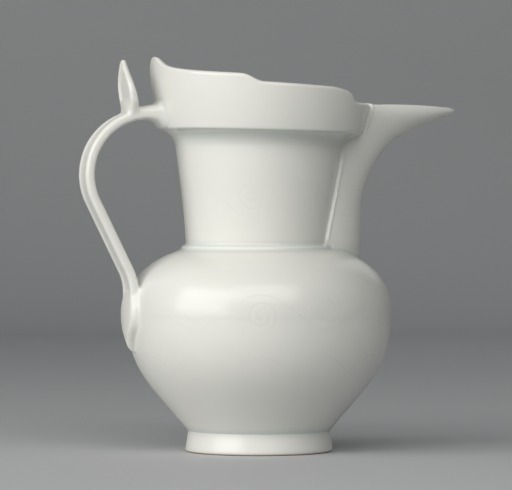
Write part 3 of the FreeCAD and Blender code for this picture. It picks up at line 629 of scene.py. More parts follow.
def crownHeight(x, y):
    # height of the stepped rim over a point of the collar's own frame
    high, low, front, peak = collar["highRun"], collar["lowRun"], collar["front"], collar["peak"]
    step, drop, back = -collar["sideStep"], collar["frontStep"], -collar["peakStart"] * collar["radius"]
    runEnd = high - collar["runFall"]
    side = chain(
        straight((back, high), (step - 7, runEnd)),
        spline([(step - 7, runEnd), (step - 1.5, runEnd), (step, low + 0.2), (step + 5.5, low + 0.2)]),
        straight((step + 5.5, low + 0.2), (drop - 14, low - 1.2)),
        spline([(drop - 14, low - 1.2), (drop - 7, low - 2.3), (drop - 1, low - 3.8),
                (drop - 2.2, front + 0.6),
                (drop + 1.2, front), (drop + 6.5, front)]),
        straight((drop + 6.5, front), (collar["radius"] + 20, front)),
    )
    shoulder = 0.82 * collar["radius"]
    behind = chain(
        spline([(0, peak), (2.5, peak), (6, high + 0.90 * (peak - high)), (11, high + 0.52 * (peak - high)),
                (19, high + 0.28 * (peak - high)), (29, high + 0.13 * (peak - high)), (shoulder, high)]),
        straight((shoulder, high), (collar["radius"] + 10, high)),
    )
    along = np.maximum.accumulate(side[:, 0] + np.arange(len(side)) * 1e-6)
    fromSide = np.interp(x, along, side[:, 1])
    fromBehind = np.interp(np.abs(y), behind[:, 0], behind[:, 1])
    return np.where(x > back, fromSide, fromBehind)


def collarMesh(columns, curveSteps=40):
    outerCurve, innerCurve = spline(collarPoles(), 60), spline(collarPoles(True), 60)

    def outerRadius(z):
        return follow(outerCurve, z)

    def innerRadius(z):
        return follow(innerCurve, z)

    def startAngle(radius):
        return np.arcsin(collar["endWidth"] / radius)

    def rim(share, radiusAt):
        height = np.full_like(share, 25.0)
        for _ in range(3):
            radius = radiusAt(height)
            first = startAngle(radius)
            angle = first + share * (2 * math.pi - 2 * first)
            height = crownHeight(radius * np.cos(angle), radius * np.sin(angle))
        return height

    fine = np.linspace(0, 1, 6001)
    top = rim(fine, outerRadius)
    length = np.concatenate([[0], np.cumsum(np.hypot(np.diff(fine) * 2 * math.pi * 54, np.diff(top)))])
    rounding = collar["endRounding"]
    shares = np.interp(np.linspace(rounding, length[-1] - rounding, columns), length, fine)
    sweep = np.linspace(0, math.pi / 2, 8)[:-1]
    inset = rounding * (1 - np.sin(sweep))
    insets = np.concatenate([inset, np.zeros(columns), inset[::-1]])
    advance = rounding * (1 - np.cos(sweep)) / length[-1]
    shares = np.concatenate([advance, shares, 1 - advance[::-1]])
    outerTop, innerTop = rim(shares, outerRadius), rim(shares, innerRadius)
    peakShare = (outerTop - collar["highRun"]) / (collar["peak"] - collar["highRun"])
    innerTop -= collar["peakFall"] * np.clip(peakShare, 0, 1)

    crown, bore, ledge, edge = collar["rimCrown"], collar["ledgeBore"], collar["ledge"], collar["rounding"]
    grid = []
    for share, high, low, inset in zip(shares, outerTop, innerTop, insets):
        foot = collar["radius"] - edge
        upTo, downFrom = high - crown, low - crown
        outerZ = edge + (upTo - edge) * np.linspace(0, 1, curveSteps)
        innerZ = downFrom + (ledge + 1.5 - downFrom) * np.linspace(0, 1, curveSteps)
        turnOver = np.linspace(0, math.pi, 17)[1:-1]
        a, b = outerRadius(upTo), innerRadius(downFrom)
        cap = np.stack([(a + b) / 2 + (a - b) / 2 * np.cos(turnOver),
                        upTo + (downFrom - upTo) * (1 - np.cos(turnOver)) / 2 + crown * np.sin(turnOver)], 1)
        root = innerRadius(ledge + 1.5)
        loop = chain(
            straight((bore + 0.7, 0), (foot, 0), 1.2),
            spline([(foot, 0), (foot + 0.55 * edge, 0), (foot + edge, 0.45 * edge), (foot + edge, edge)], 8),
            np.stack([outerRadius(outerZ), outerZ], 1),
            cap,
            np.stack([innerRadius(innerZ), innerZ], 1),
            spline([(root, ledge + 1.5), (root, ledge + 0.6), (root - 0.6, ledge), (root - 1.8, ledge)], 8),
            straight((root - 1.8, ledge), (bore + 0.8, ledge), 1.2),
            spline([(bore + 0.8, ledge), (bore + 0.3, ledge), (bore, ledge - 0.3), (bore, ledge - 0.8)], 6),
            straight((bore, ledge - 0.8), (bore, 0.7), 1.0),
            spline([(bore, 0.7), (bore, 0.3), (bore + 0.3, 0), (bore + 0.7, 0)], 6),
        )[:-1]
        if inset > 0:
            tangent = np.roll(loop, -1, 0) - np.roll(loop, 1, 0)
            tangent /= np.linalg.norm(tangent, axis=1)[:, None]
            loop = loop + inset * np.stack([-tangent[:, 1], tangent[:, 0]], 1)
        first = startAngle(np.clip(loop[:, 0], bore, None))
        angle = first + share * (2 * math.pi - 2 * first)
        grid.append(np.stack([loop[:, 0] * np.cos(angle), loop[:, 0] * np.sin(angle), loop[:, 1]], 1))
    grid = onCollar(np.array(grid))
    mesh = meshFromGrid("capCollar", grid, closeColumns=True)
    cleanMesh(mesh, 50.0, capHoles=True)
    return mesh


def makeCollar():
    mesh = collarMesh(620)
    ledge = collar["ledge"]

    # painted shade on the collar's underside and in the inner corner at the ledge, together with thick glaze
    # in these corners
    def poolsAndShade(p):
        own = p[:, 2] - capBase + (p[:, 0] - collar["forward"]) * math.sin(math.radians(collar["lean"]))
        radius = np.hypot(p[:, 0] - collar["forward"], p[:, 1])
        under = bell(own, 0.2, 1.0) * (radius > 40)
        corner = bell(own, ledge + 0.3, 1.6) * bell(radius, collar["radius"] - collar["wall"], 2.5)
        return 0.6 * under + 0.6 * corner

    stainMesh(mesh, poolsAndShade)
    putInPlace("capCollar", mesh, "cap_collar")


makeCollar()

print("stage: spout")

spout = {
    "reach": 103.9, "bury": 6.8, "back": 16.6, "depth": 15.9,
    "rootWidth": 26.8, "billWidth": 19.4, "wall": 3.0,
    "floor": 5.5, "above": 8.0, "voxel": 0.42, "softenings": 5, "fade": (1.2, 2.6),
    # edge and keel points as shares of reach and height, then shares of the root's and the bill's width
    "stations": [
        (0.000, 0.000, -0.016, 0.000, 1.00, 0.00),
        (0.000, 0.151, -0.002, 0.151, 0.93, 0.07),
        (0.000, 0.327, 0.006, 0.327, 0.72, 0.28),
        (0.000, 0.504, 0.060, 0.504, 0.50, 0.50),
        (0.000, 0.680, 0.171, 0.649, 0.30, 0.70),
        (0.037, 0.844, 0.286, 0.743, 0.16, 0.84),
        (0.196, 0.970, 0.430, 0.806, 0.00, 1.00),
        (0.440, 0.997, 0.637, 0.869, 0.00, 0.865),
        (0.660, 0.995, 0.796, 0.908, 0.00, 0.675),
        (0.831, 0.991, 0.915, 0.935, 0.00, 0.46),
        (0.935, 0.987, 0.977, 0.952, 0.00, 0.28),
        (0.972, 0.986, 1.000, 0.966, 0.00, 0.17),
    ],
}


def throughRows(rows, count):
    # a natural cubic through the rows, spaced by how far the keel moves
    rows = np.array(rows, float)
    step = np.hypot(np.diff(rows[:, 2]) * 60, np.diff(rows[:, 3]) * 80)
    at = np.concatenate([[0], np.cumsum(step)])
    size = len(rows)
    system, right = np.eye(size), np.zeros((size, rows.shape[1]))
    for i in range(1, size - 1):
        system[i, i - 1:i + 2] = step[i - 1], 2 * (step[i - 1] + step[i]), step[i]
        right[i] = 6 * ((rows[i + 1] - rows[i]) / step[i] - (rows[i] - rows[i - 1]) / step[i - 1])
    bend = np.linalg.solve(system, right)
    wanted = np.linspace(0, at[-1], count)
    piece = np.clip(np.searchsorted(at, wanted, side="right") - 1, 0, size - 2)
    h, low = step[piece][:, None], (wanted - at[piece])[:, None]
    up = h - low
    return (bend[piece] * up ** 3 + bend[piece + 1] * low ** 3) / (6 * h) + (
        rows[piece] / h - bend[piece] * h / 6) * up + (rows[piece + 1] / h - bend[piece + 1] * h / 6) * low


def collarPoint(across, up):
    point = onCollar(np.array([across, 0.0, up]))
    return point[0], point[2]


def gutterForm(name, stations, grow, count=110):
    # closed trough: half ellipse sections whose sides run on upwards
    foot, rim = pot["shoulderHeight"] - spout["bury"], collarPoint(collar["radius"], collar["front"])[1]
    rear, nose = pot["neckRadius"] - spout["back"], pot["neckRadius"] + spout["depth"]
    quarter = np.linspace(-math.pi / 2, math.pi / 2, 49)
    grid = []
    for edgeX, edgeZ, keelX, keelZ, rootShare, billShare in throughRows(stations, count):
        top = np.array([rear + edgeX * (spout["reach"] - rear), foot + edgeZ * (rim - foot)])
        keel = np.array([nose + keelX * (spout["reach"] - nose), foot + keelZ * (rim - foot)])
        down = keel - top
        depth = np.linalg.norm(down)
        down = down / depth
        depth, width = depth + grow, rootShare * spout["rootWidth"] + billShare * spout["billWidth"] + grow
        section = np.concatenate([
            [(-spout["above"], -width)], np.stack([depth * np.cos(quarter), width * np.sin(quarter)], 1),
            [(-spout["above"], width)]])
        across = np.linspace(width, -width, 15)[1:-1]
        section = np.concatenate([section, np.stack([np.full(13, -spout["above"]), across], 1)])
        deep, side = section.T
        grid.append(np.stack([top[0] + deep * down[0], side, top[1] + deep * down[1]], 1))
    mesh = meshFromGrid(name, np.array(grid), closeColumns=True)
    cleanMesh(mesh, capHoles=True)
    return addObject(name, mesh)


def prismForm(name, outline, halfWidth):
    # a flat outline of (x, z), drawn out both ways along Y
    outline = np.array(outline, float)
    grid = np.stack([np.stack([outline[:, 0], np.full(len(outline), side), outline[:, 1]], 1)
                     for side in (-halfWidth, halfWidth)])
    mesh = meshFromGrid(name, grid, closeColumns=True)
    cleanMesh(mesh, capHoles=True)
    return addObject(name, mesh)


def turnedForm(name, profile, segments=160):
    return addObject(name, turn(name, profile, segments, 0.0))


def combine(form, operation, *tools):
    for tool in tools:
        cut = form.modifiers.new("combine", "BOOLEAN")
        cut.operation = operation
        cut.solver = "EXACT"
        cut.object = tool
    mesh = evaluated(form)
    form.modifiers.clear()
    form.data = mesh
    return form


def carve(form, *tools):
    return combine(form, "DIFFERENCE", *tools)


def gather(name, *forms):
    # several closed forms in one mesh, which the remeshing then makes one skin
    heap = bmesh.new()
    for form in forms:
        heap.from_mesh(form.data)
    mesh = bpy.data.meshes.new(name)
    heap.to_mesh(mesh)
    heap.free()
    return addObject(name, mesh)


def softenMesh(form, voxel, rounds):
    # evens a form out into small quads and rounds its edges the way glaze does
    even = form.modifiers.new("even", "REMESH")
    even.mode = "VOXEL"
    even.voxel_size = voxel * mm
    even.use_smooth_shade = True
    mesh = evaluated(form)
    form.modifiers.clear()
    form.data = mesh
    easeMesh(mesh, rounds, 1.0)
    return form


def easeMesh(mesh, rounds, weight):
    # draws each corner towards its neighbours, by a weight per corner
    places = corners(mesh)
    ends = np.empty(len(mesh.edges) * 2, int)
    mesh.edges.foreach_get("vertices", ends)
    one, other = np.concatenate([ends[::2], ends[1::2]]), np.concatenate([ends[1::2], ends[::2]])
    count = np.maximum(np.bincount(one, minlength=len(places)), 1)
    for _ in range(rounds):
        for axis in range(3):
            middle = np.bincount(one, places[other, axis], len(places)) / count
            places[:, axis] += 0.5 * weight * (middle - places[:, axis])
    setCorners(mesh, places)


def fillRoot(skin, trees, low):
    # a wide soft fillet round the strap's root, where the skin lies near the pot
    weight = np.zeros(len(skin.data.vertices))
    for index, place in enumerate(corners(skin.data).tolist()):
        if place[2] > low:
            gap = min(tree.find_nearest(place)[3] for tree in trees)
            weight[index] = 1 - smoothShare(gap, 1.5, 6.5)
    easeMesh(skin.data, handle["rootSoftenings"], weight)
    places = corners(skin.data)
    weight = bell(places[:, 2], leaf["foot"], 2.6) * (places[:, 0] < -56)
    easeMesh(skin.data, handle["leafSoftenings"], weight)


def treeOf(mesh):
    return BVHTree.FromPolygons(corners(mesh).tolist(), [tuple(face.vertices) for face in mesh.polygons])


def smoothShare(value, start, stop):
    share = min(1.0, max(0.0, (value - start) / (stop - start)))
    return share * share * (3 - 2 * share)


joint = {
    "touch": 0.03, "dive": 0.18, "diveDepth": 0.4, "fadeDepth": 0.9, "skirtRings": 3, "near": 4.0,
    # groove and raised line beside the spout's joint: distance from the joint, half width and height of each
    "ridge": (1.9, 0.48, 0.5), "groove": (0.4, 0.7, -0.5),
}


def ridgeLift(place, gap):
    # how far the groove and the raised line lift a place of the spout at this distance from the joint
    low, share = pot["shoulderHeight"], 1.0
    lift = sum(high * bell(gap, at, wide) for at, wide, high in (joint["ridge"], joint["groove"]))
    share -= 0.45 * (1 - smoothShare(place[2], low + 2, low + 5))
    share -= 0.9 * bell(place[2], capBase - 2.2, 2.4) + 0.5 * bell(place[2], low + 3.0, 1.3)
    return lift * share


def insidePot(places):
    # whether points lie in the filled body or in the collar's band
    outline = chain(spline(bowlPoles()[::-1]), spline(shoulderPoles()),
                    spline(neckPoles()), spline(covePoles()))
    radius = np.hypot(places[:, 0], places[:, 1])
    inBody = radius < np.interp(places[:, 2], outline[:, 1], outline[:, 0], 0, 0)
    lean = math.radians(collar["lean"])
    across, up = places[:, 0] - collar["forward"], places[:, 2] - capBase
    x, y = across * math.cos(lean) - up * math.sin(lean), places[:, 1]
    z = across * math.sin(lean) + up * math.cos(lean)
    outer, inner = spline(collarPoles()), spline(collarPoles(True))
    radius = np.hypot(x, y)
    hollow = np.where(z < collar["ledge"], collar["ledgeBore"], follow(inner, z))
    inBand = (z > 0) & (z < crownHeight(x, y)) & (radius > hollow) & (radius < follow(outer, z))
    return inBody | (inBand & ((x < 0) | (np.abs(y) > collar["endWidth"])))


def peelOff(skin, own, solids, fade, channel=None):
    # where the skin lies on the pot it dives under the pot's surface and ends there, so only the soft
    # joint and the piece itself stay; own holds the bare piece, solids the pot's parts
    ownTree, trees = treeOf(own.data), [treeOf(solid.data) for solid in solids]
    hollowTree = treeOf(channel.data) if channel else None
    places = corners(skin.data)
    inside = insidePot(places)
    keep = np.ones(len(places), bool)
    close = []
    for index, place in enumerate(places.tolist()):
        _, normal, _, gap = min((tree.find_nearest(place) for tree in trees), key=lambda found: found[3])
        keep[index] = gap <= joint["near"] or not inside[index]
        if gap <= joint["near"]:
            height, away = -gap if inside[index] else gap, ownTree.find_nearest(place)[3]
            close.append((index, place, normal, height, away))
    lifts = {}
    if channel:
        seam = [place for _, place, _, height, away in close
                if -0.3 < height < 1.8 and abs(height - away) < 0.25]
        seamTree = KDTree(len(seam))
        for index, place in enumerate(seam):
            seamTree.insert(place, index)
        seamTree.balance()
        normals = np.empty(len(places) * 3)
        skin.data.vertex_normals.foreach_get("vector", normals)
        normals = normals.reshape(-1, 3)
        for index, place, _, height, away in close:
            gap = seamTree.find(place)[2]
            if height > 0 and away < height and gap < 4 and hollowTree.find_nearest(place)[3] > 1.0:
                lifts[index] = normals[index] * ridgeLift(place, gap)
    for index, place, normal, height, away in close:
        keep[index] = height > joint["touch"] and away < fade[1]
        depth = joint["diveDepth"] * (1 - smoothShare(height, 0, joint["dive"]))
        depth += joint["fadeDepth"] * smoothShare(away, *fade)
        places[index] += np.array(normal) * -depth + lifts.get(index, 0.0)
    shape = bmesh.new()
    shape.from_mesh(skin.data)
    shape.verts.ensure_lookup_table()
    for vert, place in zip(shape.verts, places):
        vert.co = place * mm
    for _ in range(joint["skirtRings"]):
        reached = keep.copy()
        for edge in shape.edges:
            first, second = edge.verts[0].index, edge.verts[1].index
            if keep[first] or keep[second]:
                reached[first] = reached[second] = True
        keep = reached
    bmesh.ops.delete(shape, geom=[vert for vert in shape.verts if not keep[vert.index]], context="VERTS")
    dropCrumbs(shape)
    shape.to_mesh(skin.data)
    shape.free()
    return skin


def dropCrumbs(shape):
    # leaves only the largest connected part
    shape.verts.ensure_lookup_table()
    shape.verts.index_update()
    label, sizes = [-1] * len(shape.verts), []
    for seed in shape.verts:
        if label[seed.index] >= 0:
            continue
        label[seed.index] = len(sizes)
        ahead, count = [seed], 0
        while ahead:
            vert = ahead.pop()
            count += 1
            for edge in vert.link_edges:
                other = edge.other_vert(vert)
                if label[other.index] < 0:
                    label[other.index] = len(sizes)
                    ahead.append(other)
        sizes.append(count)
    best = sizes.index(max(sizes))
    bmesh.ops.delete(shape, geom=[vert for vert in shape.verts if label[vert.index] != best], context="VERTS")


def partMesh(name, mesh, planes, belongs):
    # the faces for which belongs holds, cut clean along the planes and closed there
    shape = bmesh.new()
    shape.from_mesh(mesh)
    for point, normal in planes:
        everything = list(shape.verts) + list(shape.edges) + list(shape.faces)
        bmesh.ops.bisect_plane(shape, geom=everything, plane_co=Vector(point) * mm, plane_no=Vector(normal))
    strangers = [face for face in shape.faces if not belongs(face.calc_center_median() / mm)]
    bmesh.ops.delete(shape, geom=strangers, context="FACES")
    for point, normal in planes:
        rim = [edge for edge in shape.edges if edge.is_boundary and all(
            abs((vert.co / mm - Vector(point)).dot(Vector(normal))) < 0.001 for vert in edge.verts)]
        if rim:
            bmesh.ops.triangle_fill(shape, edges=rim, use_beauty=True)
    part = bpy.data.meshes.new(name)
    shape.to_mesh(part)
    shape.free()
    return part


def drop(*forms):
    for form in forms:
        bpy.data.objects.remove(form)


def channelRows():
    foot, rim = pot["shoulderHeight"] - spout["bury"], collarPoint(collar["radius"], collar["front"])[1]
    floor = (spout["bury"] + spout["floor"]) / (rim - foot)
    first = spout["stations"][1]
    return [(first[0], floor, first[2], floor) + first[4:]] + spout["stations"][2:11]


def potForms():
    # plain closed forms of the pot's body and of its collar, to grow things on and to cut them back to
    beadTop = pot["shoulderHeight"] + pot["beadHeight"]
    beadOuter = pot["neckRadius"] + pot["beadWidth"]
    vessel = turnedForm("vesselForm", chain(
        [(0, pot["footHeight"])], spline(bowlPoles()[::-1]), spline(shoulderPoles()),
        [(beadOuter, beadTop - 0.6), (beadOuter - 0.6, beadTop), (pot["neckRadius"], beadTop)],
        spline(neckPoles()), spline(covePoles()), [(0, capBase)], [(0, pot["footHeight"])]), 240)
    leanTop(vessel.data)
    return vessel, addObject("collarForm", collarMesh(260, 14))


def mouthForm():
    mouthCurve = spline(collarPoles(True))
    mouth = turnedForm("mouthForm", chain(
        [(0, -2.0), (collar["ledgeBore"], -2.0)], [(collar["ledgeBore"], collar["ledge"])], mouthCurve,
        [(mouthCurve[-1][0], collar["peak"] + 6), (0, collar["peak"] + 6), (0, -2.0)]))
    setCorners(mouth.data, onCollar(corners(mouth.data)))
    return mouth


def rimCut():
    # everything above the bill's level rim, which falls a little at the tip
    levelEnd = collarPoint(spout["reach"] - 11.0, collar["front"])
    start = collarPoint(0.25 * collar["radius"], collar["front"])
    tip = (spout["reach"] + 1.0, levelEnd[1] - 2.6)
    top = capBase + 60
    bulge = [collarPoint(across, collar["front"] + 0.7) for across in (66.0, 84.0)]
    return prismForm("rimTool", chain(
        [start], spline([collarPoint(56.0, collar["front"])] + bulge + [levelEnd], 12),
        spline([levelEnd, (levelEnd[0] + 5, levelEnd[1] - 0.1), (tip[0] - 3, levelEnd[1] - 0.5), tip], 12),
        [tip, (tip[0] + 6, tip[1]), (tip[0] + 6, top), (start[0], top)]), 60)


def potNear(vessel, band, outline, halfWidth):
    # the part of the pot round a joint, for the joint's skin to grow on
    room = prismForm("room", outline, halfWidth)
    near = [addObject("near", form.data.copy()) for form in (vessel, band)]
    for form in near:
        combine(form, "INTERSECT", room)
    drop(room)
    return near


def makeSpout(vessel, band, channel):
    rim, mouth = rimCut(), mouthForm()
    outer = gutterForm("spoutOuter", spout["stations"], 0.0)
    carve(outer, rim, channel, mouth)
    near = potNear(vessel, band, [(14, 86), (80, 86), (80, 200), (14, 200)], 36)
    carve(near[0], channel)
    skin = gather("spoutSkin", outer, *near)
    softenMesh(skin, spout["voxel"], spout["softenings"])
    peelOff(skin, outer, [vessel, band], spout["fade"], channel)
    mesh = skin.data.copy()
    cleanMesh(mesh, 60.0)
    # darker pooled tint at the spout's root on the shoulder: thick glaze with painted shade in the joint
    stainMesh(mesh, lambda p: 0.45 * bell(p[:, 2], 100.0, 3.5) * (np.hypot(p[:, 0], p[:, 1]) < 55))
    piece = putInPlace("spout", mesh, "spout")
    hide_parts("spout_rib")
    drop(outer, skin, rim, mouth, *near)


def makeNeck(channel):
    wall, low = pot["neckWall"], pot["shoulderHeight"]
    beadTop = low + pot["beadHeight"]
    foot, swellPole, waist, head = neckPoles()
    lip = (covePoles()[3][0], capBase + 1.4)
    inner = (neckTop - wall, capBase + 1.4)
    profile = chain(
        straight((pot["neckRadius"], low), (pot["neckRadius"], beadTop)),
        spline(neckPoles(), 64),
        spline(covePoles(), 16),
        straight(covePoles()[3], lip),
        straight(lip, inner),
        spline([inner, (waist[0] - wall + 1.2, waist[1] + 6), (swellPole[0] - wall, swellPole[1]),
                (foot[0] - wall, beadTop)], 40),
        straight((foot[0] - wall, beadTop), (foot[0] - wall, low)),
        straight((foot[0] - wall, low), (foot[0], low)),
    )
    tube = addObject("neckTube", turn("neckTube", profile))
    leanTop(tube.data)
    carve(tube, channel)
    mesh = tube.data.copy()
    cleanMesh(mesh)
    outline = chain(spline(neckPoles()), spline(covePoles()))
    # darker pooled tint on the outer face: a broad band up into the cove, painted shadow under the collar
    # with thick glaze at its root; a narrow band at the ring's top, thick glaze with painted shade in the
    # joint
    stainMesh(mesh, lambda p: (np.hypot(p[:, 0], p[:, 1]) > follow(outline, p[:, 2]) - 1.5) * np.maximum(
        0.6 * bell(p[:, 2], capBase, 6.0), 0.5 * bell(p[:, 2], beadTop, 1.8)))
    putInPlace("neck", mesh, "neck")
    drop(tube)


vesselForm, bandForm = potForms()
channelForm = gutterForm("spoutChannel", channelRows(), -spout["wall"])
makeNeck(channelForm)
makeSpout(vesselForm, bandForm, channelForm)
drop(channelForm)

print("stage: handle")

handle = {
    "reach": 88.4, "bend": 30.0, "rise": 8.6, "footBend": 24.0,
    "width": 17.8, "thickness": 5.6, "channel": 1.1,
    "lip": 3.6, "padTop": 82.0, "landing": 7.0, "voxel": 0.42, "softenings": 7,
    "fade": (3.0, 6.0), "rootSoftenings": 70, "rootRise": 1.6, "leafSoftenings": 28,
    # fillet where the strap leaves the collar: its length, then its height above, beside and below
    "filletLength": 7.5, "filletTop": 2.6, "filletSide": 0.9, "filletUnder": 4.8,
}


def strapLine():
    # middle line of the strap in the plane of the spout, as (x, z)
    bend, footBend = handle["bend"], handle["footBend"]
    level = capBase + handle["rise"]
    start = (-(collar["radius"] - 4.0), level)
    centre = (-(handle["reach"] - bend), level - bend)
    end = (-pot["bellyRadius"], handle["padTop"] - 2)
    footCentre = (end[0] - footBend, end[1])
    across, up = footCentre[0] - centre[0], footCentre[1] - centre[1]
    turnAngle = math.degrees(math.atan2(up, across)) % 360 - math.degrees(
        math.acos((bend + footBend) / math.hypot(across, up)))
    bendRun = arc(centre, bend, 90, turnAngle, 60)
    footRun = arc(footCentre, footBend, turnAngle - 180, 0, 14)
    line = chain(straight(start, bendRun[0]), bendRun, straight(bendRun[-1], footRun[0]), footRun,
                 straight(footRun[-1], (end[0], end[1] - handle["landing"])))
    along = np.concatenate([[0], np.cumsum(np.linalg.norm(np.diff(line, axis=0), axis=1))])
    even = np.linspace(0, along[-1], 190)
    return np.stack([np.interp(even, along, line[:, 0]), np.interp(even, along, line[:, 1])], 1), even


def strapForm():
    line, along = strapLine()
    tangent = np.gradient(line, axis=0)
    tangent /= np.linalg.norm(tangent, axis=1)[:, None]
    outward = np.stack([tangent[:, 1], -tangent[:, 0]], 1)
    if outward[0, 1] < 0:
        outward = -outward
    half, thick, length = handle["width"] / 2, handle["thickness"] / 2, handle["filletLength"]
    turnRound = np.linspace(0, 2 * math.pi, 73)[:-1]
    # rounded bar: a squarish ellipse whose outer side carries the channel
    across = np.sign(np.cos(turnRound)) * np.abs(np.cos(turnRound)) ** 0.55
    over = np.sign(np.sin(turnRound)) * np.abs(np.sin(turnRound)) ** 0.55
    faceCurve = spline(collarPoles(), 40)
    grid = []
    for place, out, gone in zip(line, outward, along):
        radius = follow(faceCurve, place[1] - capBase)
        wall = np.sqrt(radius ** 2 - (across * half) ** 2) - collar["forward"]
        away = np.clip((-place[0] - wall) / length, 0, 1) if gone < 30 else np.ones(len(across))
        grow = 1 - np.sqrt(1 - (1 - away) ** 2)
        channelDepth = handle["channel"] * min(1.0, max(0.0, (gone - 10) / 12))
        dip = channelDepth / (1 + np.exp((np.abs(across * half) - (half - handle["lip"])) / 0.55))
        raised = handle["rootRise"] * (1 - smoothShare(gone, 13, 24))
        rise = np.where(over > 0, over * (thick + raised + handle["filletTop"] * grow) - dip * (over > 0.3),
                        over * (thick + handle["filletUnder"] * grow))
        side = across * (half + handle["filletSide"] * grow)
        grid.append(np.stack([place[0] + rise * out[0], side, place[1] + rise * out[1]], 1))
    mesh = meshFromGrid("strap", np.array(grid), closeColumns=True)
    cleanMesh(mesh, 60.0, capHoles=True)
    return addObject("strapForm", mesh)


leaf = {
    "foot": 170.9, "corner": 0.55, "border": 2.2, "hollow": 1.4,
    # height above the foot, half width, thickness and place of its middle behind the axis
    "rows": [
        (-4.0, 8.4, 6.4, 66.4), (-0.5, 10.4, 6.3, 66.5), (2.2, 12.2, 6.1, 66.7), (6.1, 13.0, 5.7, 67.3),
        (11.1, 12.3, 4.9, 68.4), (14.5, 10.2, 4.3, 69.0), (17.7, 7.4, 3.7, 69.5), (21.0, 4.2, 3.2, 69.9),
        (23.0, 2.4, 2.7, 69.9), (24.0, 1.1, 1.8, 69.9),
    ],
}


def leafForm():
    rows = np.array(leaf["rows"])
    low, shoulder, top = rows[[0, -2, -1], 0]
    heights = np.concatenate([np.linspace(low, shoulder, 60), np.linspace(shoulder, top, 6)[1:]])
    smooth = spline(rows[1:-1], 40)
    curve = np.concatenate([rows[:1], smooth, rows[-1:]])
    turnRound = np.linspace(0, 2 * math.pi, 81)[:-1]
    cosine, sine = np.cos(turnRound), np.sin(turnRound)
    grid = []
    for high in heights:
        half, thick, middle = (follow(curve, high, k, 0) for k in (1, 2, 3))
        y = half * np.sign(cosine) * np.abs(cosine) ** 0.8
        x = thick / 2 * np.sign(sine) * np.abs(sine) ** leaf["corner"]
        inner = np.clip((half - leaf["border"] - np.abs(y)) / 1.2, 0, 1) * np.clip((high - 2.0) / 3, 0, 1)
        x = np.where(sine < 0, x + leaf["hollow"] * inner * inner * (3 - 2 * inner), x)
        grid.append(np.stack([x - middle, y, np.full(len(y), leaf["foot"] + high)], 1))
    mesh = meshFromGrid("leaf", np.array(grid), closeColumns=True)
    cleanMesh(mesh, 60.0, capHoles=True)
    return addObject("leafForm", mesh)


pad = {"top": 82.0, "tip": 50.0, "width": 11.4, "height": 3.5, "edge": 3.2}


def padForm():
    # a leaf-shaped swelling of the belly where the strap lands
    top, tip, width, half = pad["top"], pad["tip"], pad["width"], handle["width"] / 2
    tall = top - tip
    outline = spline([(half, top), (half, top - 0.12 * tall), (width * 1.18, top - 0.25 * tall),
                      (width, top - 0.62 * tall), (width * 0.28, top - 0.80 * tall), (0, tip)], 40)
    belly = chain(spline(bowlPoles(), 60)[::-1], spline(shoulderPoles(), 60))
    blunt = 0.04 * tall
    rows = np.concatenate([tip + blunt * np.geomspace(0.02, 1, 6)[:-1], np.linspace(tip + blunt, top, 70)])
    outerGrid, innerGrid = [], []
    for high in rows:
        wide = follow(outline[::-1], high)
        share = np.sin(np.linspace(-math.pi / 2, math.pi / 2, 61))
        y = wide * share
        edgeGap = np.minimum(wide - np.abs(y), (high - tip) * 0.55)
        swell = np.sqrt(np.clip(1 - (1 - np.clip(edgeGap / pad["edge"], 0, 1)) ** 2, 0, 1)) * pad["height"]
        radius, slope = follow(belly, high), follow(belly, high + 0.5) - follow(belly, high - 0.5)
        lift = swell / math.sqrt(1 + slope * slope)
        for grid, out in ((outerGrid, lift), (innerGrid, np.full_like(lift, -0.3))):
            x = -np.sqrt(np.clip((radius + out) ** 2 - y ** 2, 0, None))
            grid.append(np.stack([x, y, high - out * slope * (out > 0)], 1))
    loop = np.concatenate([np.array(outerGrid), np.array(innerGrid)[:, ::-1]], 1)
    mesh = meshFromGrid("handlePad", loop, closeColumns=True)
    cleanMesh(mesh, 50.0, capHoles=True)
    return addObject("padForm", mesh)


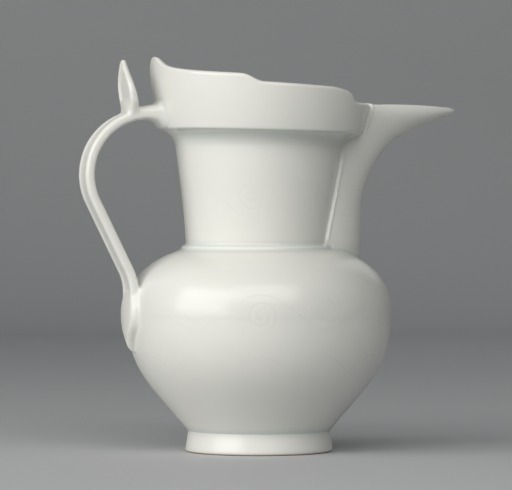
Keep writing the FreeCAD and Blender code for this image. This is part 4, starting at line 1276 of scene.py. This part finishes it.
def makeHandle(vessel, band):
    # strap, leaf and pad get one soft skin on the pot, which is then cut into the three pieces
    strap, thumb, landing = strapForm(), leafForm(), padForm()
    near = potNear(vessel, band, [(-72, 38), (-30, 38), (-30, 196), (-72, 196)], 26)
    own = gather("handleOwn", strap, thumb, landing)
    skin = gather("handleSkin", own, *near)
    softenMesh(skin, handle["voxel"], handle["softenings"])
    fillRoot(skin, [treeOf(vessel.data), treeOf(band.data)], 152.0)
    peelOff(skin, own, [vessel, band], handle["fade"])
    leafFoot = ((-66.4, 0.0, leaf["foot"] + 0.9), (0.05, 0.0, 1.0))
    padEdge = ((0.0, 0.0, handle["padTop"]), (0.0, 0.0, 1.0))

    def inLeaf(place):
        return place.x < -58.5 and (place - Vector(leafFoot[0])).dot(Vector(leafFoot[1])) > 0

    def inPad(place):
        return place.z < handle["padTop"]

    for name, node, planes, belongs in (
            ("handle", "handle", (leafFoot, padEdge), lambda place: not inLeaf(place) and not inPad(place)),
            ("thumbLeaf", "thumb_leaf", (leafFoot,), inLeaf),
            ("handlePad", "handle_terminal", (padEdge,), inPad)):
        mesh = partMesh(name, skin.data, planes, belongs)
        cleanMesh(mesh, 60.0)
        # darker pooled tint where the strap leaves the collar: thick glaze with painted shade in the joint
        stainMesh(mesh, lambda p: 0.35 * bell(p[:, 0], -50.5, 3.5) * (p[:, 2] > 150))
        putInPlace(name, mesh, node)
    drop(strap, thumb, landing, own, skin, *near)


makeHandle(vesselForm, bandForm)
drop(vesselForm, bandForm)

print("stage: floor")

ground = {"half": 1.6, "back": 1.5, "bendRadius": 0.5, "wallHeight": 2.6}


def makeGround():
    # a pale sheet that runs back and curves up behind the pot, turned to face the viewer
    away = math.radians(studio["turn"])
    bend = [(ground["back"] + ground["bendRadius"] * math.sin(a), ground["bendRadius"] * (1 - math.cos(a)))
            for a in np.linspace(0, math.pi / 2, 24)]
    run = [(-2.6, 0.0), (0.0, 0.0)] + bend + [(bend[-1][0], ground["wallHeight"])]
    sine, cosine, reach = math.sin(away), math.cos(away), ground["half"] * 2
    rows = [[(side * cosine + depth * sine, -side * sine + depth * cosine, up) for side in (-reach, reach)]
            for depth, up in run]
    mesh = meshFromGrid("ground", np.array(rows) / mm)
    cleanMesh(mesh)
    sheet = addObject("ground", mesh)
    paper = bpy.data.materials.new("palePaper")
    paper.use_nodes = True
    shader = paper.node_tree.nodes["Principled BSDF"]
    shader.inputs["Base Color"].default_value = (0.50, 0.51, 0.52, 1.0)
    shader.inputs["Roughness"].default_value = 0.7
    mesh.materials.append(paper)


makeGround()
